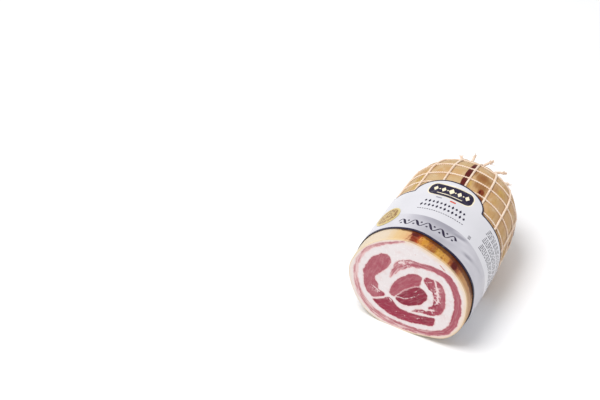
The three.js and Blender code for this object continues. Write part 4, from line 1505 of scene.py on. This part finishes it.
def lozenge_rows():
    marks = [(GREY, mark_at(rounded_box(7, 1.7, 0.7), 94, 79)),
             (RED, mark_at(rounded_box(7, 2.2, 0.9), 79, 79))]
    for row, (y, count) in enumerate([(71.2, 11), (64.2, 12)]):
        for k in range(count):
            degrees = 84 + (count - 1) / 2 * LOZENGE_STEP - k * LOZENGE_STEP
            marks.append((NAVY, mark_at(lozenge(3.0, 5.6 if (k + row) % 2 else 4.2), degrees, y)))
    for k in range(20):
        marks.append((SLATE, mark_at(rounded_box(1.9, 1.0, 0.3, 3), 107 - k * DASH_STEP, 57)))
    return marks


def wave_marks():
    """A running wave drawn with a broad pen, thick on one slope, with a dot in each bend."""
    first, last = WAVE_ENDS
    t = np.linspace(0, 1, 150)
    turn = math.pi * WAVE_BENDS * t
    line = np.stack([(first - last) * GIRTH_STEP * (t - 0.5), WAVE_HEIGHT * np.sin(turn)], axis=1)
    pen = PEN_WIDTHS[0] + PEN_WIDTHS[1] * np.clip(-np.cos(turn), 0, 1)
    marks = [(NAVY, mark_at(stroke(line, pen), (first + last) / 2, WAVE_AT))]
    for k in range(WAVE_BENDS):
        side = 1 if k % 2 == 0 else -1
        degrees = first + (last - first) * (k + 0.5) / WAVE_BENDS
        marks.append((NAVY, mark_at(dot(1.2), degrees, WAVE_AT - side * 2.2)))
    return marks


def small_print():
    """Blocks of broken bars where the band has its fine print."""
    rng = np.random.default_rng(17)
    marks = []
    for block, line in itertools.product(PRINT_BLOCKS, range(PRINT_LINES)):
        degrees = PRINT_ENDS[0] - 0.6 * line
        while degrees > PRINT_ENDS[1]:
            length = rng.uniform(1.8, 6)
            bar = rounded_box(length, PRINT_HEIGHT, 0.3, 2)
            marks.append((SLATE, mark_at(bar, degrees - length / 2 / GIRTH_STEP, block + PRINT_STEP * line)))
            degrees -= (length + rng.uniform(0.6, 1.1)) / GIRTH_STEP
    for line in range(3):
        marks.append((SLATE, mark_at(rounded_box(3.4, 0.9, 0.3, 2), 48.5, 46.5 + 1.7 * line)))
    return marks


marks = plaque_marks() + lozenge_rows() + wave_marks() + small_print()
print("the print has", len(marks), "marks")

# %% Finishes of the film
# Width of the navy line along the near edge: printed, and widened to paint in the shadow that the film's edge
# casts.
EDGE_LINE_AND_SHADOW = 2.6
FAR_LINE = 1.7
# Lightness of a painted reflection on the silver, which changes round the roll.
SILVER_SHEEN = [  # degrees round, lightness
    (-90, 0.4), (-20, 0.42), (10, 0.45), (28, 0.46), (44, 0.44), (52, 0.4), (60, 0.28), (68, 0.2),
    (84, 0.24), (97, 0.4), (112, 0.6), (140, 0.62), (180, 0.5), (270, 0.4)]
# Lightness of painted shade on the white, round the roll.
WHITE_SHADE = [
    (-90, 0.5), (0, 1), (25, 0.9), (45, 0.35), (70, 0.05), (110, 0.2), (150, 0.25), (200, 0.5), (270, 0.5)]
FOLD_SLOPE = 0.17  # millimetres along the roll for each degree round it
# The lightness column is painted shade in a fold and painted highlight beside it.
FILM_FOLDS = [  # degrees round, millimetres along, half length in degrees, half width, lightness
    (54.5, 40, 6, 1.9, -0.6), (55, 36, 9, 1.8, 0.14), (40.5, 27, 5.5, 1.9, -0.55), (40, 31, 7, 1.8, 0.16),
    (40, 23, 7, 1.7, 0.14), (25, 30, 8, 1.8, -0.14), (66, 27, 8, 2.2, 0.16)]


def silver_edge(degrees):
    """The far edge of the silver, which comes nearer on the roll's right."""
    return 45 - 6 * smooth(degrees, 62, 20)


def film_folds(degrees, y):
    """The folds' painted shade and highlight, and how high they raise the film, as a share."""
    total = 0 * degrees
    for at, along, long, wide, strength in FILM_FOLDS:
        across = y - along + FOLD_SLOPE * (degrees - at)
        total = total + strength * np.exp(-((degrees - at) / long) ** 2 - (across / wide) ** 2)
    return total


def painted_film_light(degrees, y):
    """Painted reflection on the silver and painted shade on the white, round the roll, with the folds'
    painted shade and highlights.
    """
    # The silver's painted reflection is darker towards its far edge over the top of the roll.
    edge = 0.2 * smooth(y, 31, 43) * smooth(degrees, 55, 68) * (1 - smooth(degrees, 100, 115))
    silver = np.interp(degrees, *zip(*SILVER_SHEEN)) + film_folds(degrees, y) - edge
    # The white is painted lighter further along the roll.
    white = np.interp(degrees, *zip(*WHITE_SHADE)) + 0.1 * smooth(y, 76, 90)
    return silver, white


def ink_finish(name, colour):
    material, tree = new_material("ink_" + name)
    shade = tinted(tree, ink(colour), [(spots(tree, 5, 0.5, 0.8, detail=3), 0.12, "#c9c8cf")])
    return finish_with(material, shade, Roughness=0.4, Specular_IOR_Level=0.2)


def foil_finish(name, title, stops, metal):
    material, tree = new_material(name)
    tone = swing(tree, painted(tree, title), mottle(tree, 16), 0.25)
    return finish_with(material, ramp(tree, tone, stops), [(mottle(tree, 22, seed=3), 0.4)],
                       Metallic=metal, Roughness=0.3, Specular_IOR_Level=0.4)


# The silver and white ramps read the painted reflection and painted shade.
FILMS = {
    "white": foil_finish("film_white", "white_tone", [(0, "#cfced3"), (1, "#e2e1e5")], 0.0),
    "silver": foil_finish("film_silver", "silver_tone", [(0, "#9a98a2"), (1, "#efedf2")], 0.1),
    NAVY: ink_finish("navy", "#241d36"),
    CREAM: ink_finish("cream", "#efe4c6"),
    GREY: ink_finish("grey", "#8d8c96"),
    SLATE: ink_finish("slate", "#42404b"),
    RED: ink_finish("red", "#c9533f"),
}
FILM_ORDER = list(FILMS)

# %% Building the band
FILM_GRID = 1.9


def band_degrees():
    at, half_width = ARCH[0], ARCH[1]
    arch = at + half_width * np.cos(np.linspace(math.pi, 0, 70))
    rest = np.arange(SEAM_ANGLE, SEAM_ANGLE + 361, 1.5)
    rest = rest[np.abs(rest - at) > half_width + 0.4]
    return np.sort(np.concatenate([rest, arch]))


def band_creases(degrees, y):
    """Soft folds in the film: a few long ones, and gentle waves everywhere."""
    spot = degrees_to_flat(degrees, y)
    waves = 0.12 * soft_noise(spot * [0.45, 1], 9, 31) + 0.1 * soft_noise(spot, 26, 32)
    return 0.6 * film_folds(degrees, y) + waves


def band_lines():
    """The flat band's outline and the lines of its print: near, far and the edge of the silver."""
    degrees = band_degrees()
    angle = np.radians(degrees)
    near = degrees_to_flat(degrees, band_near(angle))
    far = degrees_to_flat(degrees, band_far(angle))
    ahead = unit(np.gradient(far, axis=0))
    share = np.linspace(0, 1, 40)[1:-1, None]
    left, right = (blend(near[end], far[end], share) for end in (0, -1))
    return {
        "outline": np.vstack([near, right, far[::-1], left[::-1]]),
        "near": near,
        "near_line_and_shadow": near + [0, EDGE_LINE_AND_SHADOW],
        "far_line": far + FAR_LINE * np.stack([ahead[:, 1], -ahead[:, 0]], axis=1),
        "far": far,
        "silver": degrees_to_flat(degrees, silver_edge(degrees))}


def inks_of(middles, lines):
    """The ink of each triangle, by the printed shapes that its middle lies in."""
    kind = np.full(len(middles), FILM_ORDER.index("white"))
    fields = [("silver", "near", "silver"), (NAVY, "near", "near_line_and_shadow"), (NAVY, "far_line", "far")]
    for name, one, two in fields:
        kind[inside(middles, np.vstack([lines[one], lines[two][::-1]]))] = FILM_ORDER.index(name)
    for name, shape in marks:
        low, high = shape.min(axis=0), shape.max(axis=0)
        near_it = np.flatnonzero(np.all((middles > low) & (middles < high), axis=1))
        kind[near_it[inside(middles[near_it], shape)]] = FILM_ORDER.index(name)
    return kind


def build_band():
    lines = band_lines()
    outline = lines["outline"]
    paths = [(outline, True)] + [(lines[name], False) for name in ("near_line_and_shadow", "far_line", "silver")]
    border, edges = join_paths(paths + [(shape, True) for _, shape in marks])
    loose = scattered(outline.min(axis=0), outline.max(axis=0), FILM_GRID, 9)
    loose = loose[inside(loose, outline)]
    room = np.array([np.min(np.sum((border - place) ** 2, axis=1)) for place in loose])
    flat, triangles = triangulate(np.vstack([border, loose[room > 0.5]]), edges)
    print("the film's outlines have", len(border), "points, with", np.sum(room > 0.5), "loose ones between")
    triangles = triangles[inside(flat[triangles].mean(axis=1), outline)]
    return flat, triangles, inks_of(flat[triangles].mean(axis=1), lines)


def sew_seam(degrees, y, triangles):
    """The flat band's ends meet round the roll, so the right end takes the left end's points."""
    left = np.flatnonzero(degrees < SEAM_ANGLE + 0.001)
    merged = np.arange(len(degrees))
    for i in np.flatnonzero(degrees > SEAM_ANGLE + 359.999):
        merged[i] = left[np.argmin(np.abs(y[left] - y[i]))]
    return merged[triangles]


def edge_walls(triangles, count):
    """Walls between a sheet's open edges and the same edges of its other side."""
    sides = np.vstack([triangles[:, pair] for pair in ([0, 1], [1, 2], [2, 0])])
    edge, uses = np.unique(np.sort(sides, axis=1), axis=0, return_counts=True)
    a, b = edge[uses == 1].T
    return np.vstack([np.stack([a, b, b + count], axis=1), np.stack([a, b + count, a + count], axis=1)])


def wrap_band():
    flat, triangles, kind = build_band()
    degrees, y = flat[:, 0] / GIRTH_STEP, flat[:, 1]
    angle = np.radians(degrees)
    crease = band_creases(degrees, y)
    for end in (SEAM_ANGLE, SEAM_ANGLE + 360):
        crease = crease * smooth(np.abs(degrees - end), 0, 12)
    outer = lay(y, angle, BAND_OUTER + crease)
    inner = lay(y, angle, BAND_INNER + crease, BAND_OUTER - BAND_INNER)
    triangles = sew_seam(degrees, y, triangles)
    # Where two points become one at the seam, the triangle between them has no area left.
    whole = [len(set(corners)) == 3 for corners in triangles]
    triangles, kind = triangles[whole], kind[whole]
    walls = edge_walls(triangles, len(flat))
    faces = np.vstack([triangles, triangles[:, ::-1] + len(flat), walls])
    behind = np.full(len(triangles), FILM_ORDER.index("white"))
    kinds = np.concatenate([kind, behind, np.full(len(walls), FILM_ORDER.index(NAVY))])
    used, renumbered = np.unique(faces, return_inverse=True)
    silver, white = (np.tile(tone, 2)[used] for tone in painted_film_light(degrees, y))
    return make_piece("film_band", np.vstack([outer, inner])[used], renumbered.reshape(-1, 3),
                      list(FILMS.values()), kinds, {"silver_tone": silver, "white_tone": white}, sharp=50)


band_piece = wrap_band()

# %% [markdown]
# ## Foil seal
# A round seal of gold foil sticks to the band on the roll's left shoulder. It is a disc bent to the
# roll, with a raised rim and a raised ring, and between them the foil is hatched in brown. The
# hatching is a worn print, so it comes from noise drawn out in one direction. The seal's height is
# one profile from the middle outwards.

# %% Building the seal
SEAL_AT = (math.radians(135), 44.3)  # round the roll, millimetres along
SEAL_RADIUS = 14.2
SEAL_UNDER = 0.95
SEAL_TOP = 1.35
SEAL_RIM = 13.3
SEAL_RING = 6.9


def ridge(r, at, width):
    return np.exp(-((r - at) / width) ** 2)


def seal_height(r):
    """Rim, ring and a raised middle, against the height of the seal's top."""
    ridges = 0.24 * ridge(r, SEAL_RIM, 0.5) + 0.12 * ridge(r, SEAL_RING, 0.4)
    return ridges + 0.1 * (1 - smooth(r, 2.2, 3.8)) - 0.2


def seal_finish():
    material, tree = new_material("gold_foil")
    gold = mixed(tree, mottle(tree, 5, detail=3), ink("#dbc489"), ink("#c9ab6b"))
    hatch = spots(tree, 1.5, 0.45, 0.52, detail=3, stretch=(1, 0.4, 1), seed=5)
    colour = tinted(tree, gold, [
        (hatch, painted(tree, "printed"), "#8c5c2a"),
        (painted(tree, "rim"), 1.0, "#e6d28c")])
    return finish_with(material, colour, [(mottle(tree, 1, seed=2), 0.04)], Metallic=0.4, Roughness=0.38)


def build_seal():
    at, along = SEAL_AT
    reach = np.linalg.norm(slopes(np.array([float(along)]), np.array([at]))[0][0])
    rings, spokes = 34, 128
    r = np.linspace(0, SEAL_RADIUS, rings + 1)[1:]
    turn = 2 * np.pi * np.arange(spokes) / spokes
    r, turn = (grid.ravel() for grid in np.meshgrid(r, turn, indexing="ij"))
    r, turn = np.append(r, 0), np.append(turn, 0)
    y, angle = along + r * np.sin(turn), at - r * np.cos(turn) / reach
    crease = band_creases(np.degrees(angle), y)
    top = lay(y, angle, SEAL_TOP + crease + seal_height(r))
    under = lay(y, angle, SEAL_UNDER + crease)
    index = np.arange(rings * spokes).reshape(rings, spokes)
    faces = [join_rings(index[k], index[k + 1]) for k in range(rings - 1)]
    middle = np.full(spokes, rings * spokes)
    faces.append(np.stack([middle, index[0], np.roll(index[0], -1)], axis=1))
    faces = np.vstack(faces)
    low = len(r)
    wall = join_rings(index[-1], index[-1] + low)
    faces = np.vstack([faces, faces[:, ::-1] + low, wall])
    printed = 0.85 * (1 - smooth(r, 11.6, 12.2)) * (1 - 0.8 * ridge(r, SEAL_RING, 0.6))
    values = {"printed": np.tile(printed, 2), "rim": np.tile(smooth(r, 12.3, 12.9), 2)}
    return make_piece("foil_seal", np.vstack([top, under]), faces, [seal_finish()], values=values)


seal_piece = build_seal()

# %% [markdown]
# ## Table and light
# The photograph was taken on a white table under a wide soft light from the upper left. A plain
# pale floor catches a soft shadow on the right, and an even white surrounding fills it in.

# %% Floor, surroundings and lamp
TABLE_HALF = 4.0  # metres, like the lamp's place and size
WORLD_COLOUR = (0.98, 0.985, 1, 1)
WORLD_STRENGTH = 0.66
LAMP_PLACE = (-0.42, -0.66, 2.0)
LAMP_SIZE = 1.1
LAMP_WATTS = 31


def floor_finish():
    material, tree = new_material("white_table")
    speck = mixed(tree, mottle(tree, 60, detail=1), ink("#f6f6f7"), ink("#f9f9fa"))
    return finish_with(material, speck, Roughness=0.8, Specular_IOR_Level=0.1)


def set_stage():
    corners = [(x * TABLE_HALF, y * TABLE_HALF, 0) for x, y in ((-1, -1), (1, -1), (1, 1), (-1, 1))]
    mesh = bpy.data.meshes.new("table")
    mesh.from_pydata(corners, [], [(0, 1, 2, 3)])
    mesh.materials.append(floor_finish())
    table = new_object("table", mesh)


def set_lamp():
    """A wide round lamp that shines at the roll."""
    lamp = bpy.data.lights.new("key_light", "AREA")
    lamp.shape = "DISK"
    lamp.size = LAMP_SIZE
    lamp.energy = LAMP_WATTS
    holder = new_object("key_light", lamp)
    holder.location = LAMP_PLACE
    holder.rotation_mode = "QUATERNION"
    holder.rotation_quaternion = (-Vector(LAMP_PLACE)).to_track_quat("-Z", "Y")


def set_world():
    world = bpy.data.worlds.new("white_room")
    world.use_nodes = True
    background = world.node_tree.nodes["Background"].inputs
    background["Color"].default_value = WORLD_COLOUR
    background["Strength"].default_value = WORLD_STRENGTH
    bpy.context.scene.world = world


set_stage()
set_world()
set_lamp()
bpy.context.scene.view_settings.view_transform = "Standard"
print("stage and light are set")

# %% [markdown]
# ## Handing the pieces over
# Each finished piece rides on the one body that the part has, and stands for the imported nodes that
# it was made from, which are hidden.

# %% Riding and replacing
def hand_over(piece, node):
    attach(piece, "root")
    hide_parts(node)


for title, piece in muscles.items():
    hand_over(piece, title)
hand_over(fat_piece, "roll_fat")
hand_over(net_piece, "net")
hand_over(ends_piece, "net_ends")
hand_over(band_piece, "band")
hand_over(seal_piece, "seal")
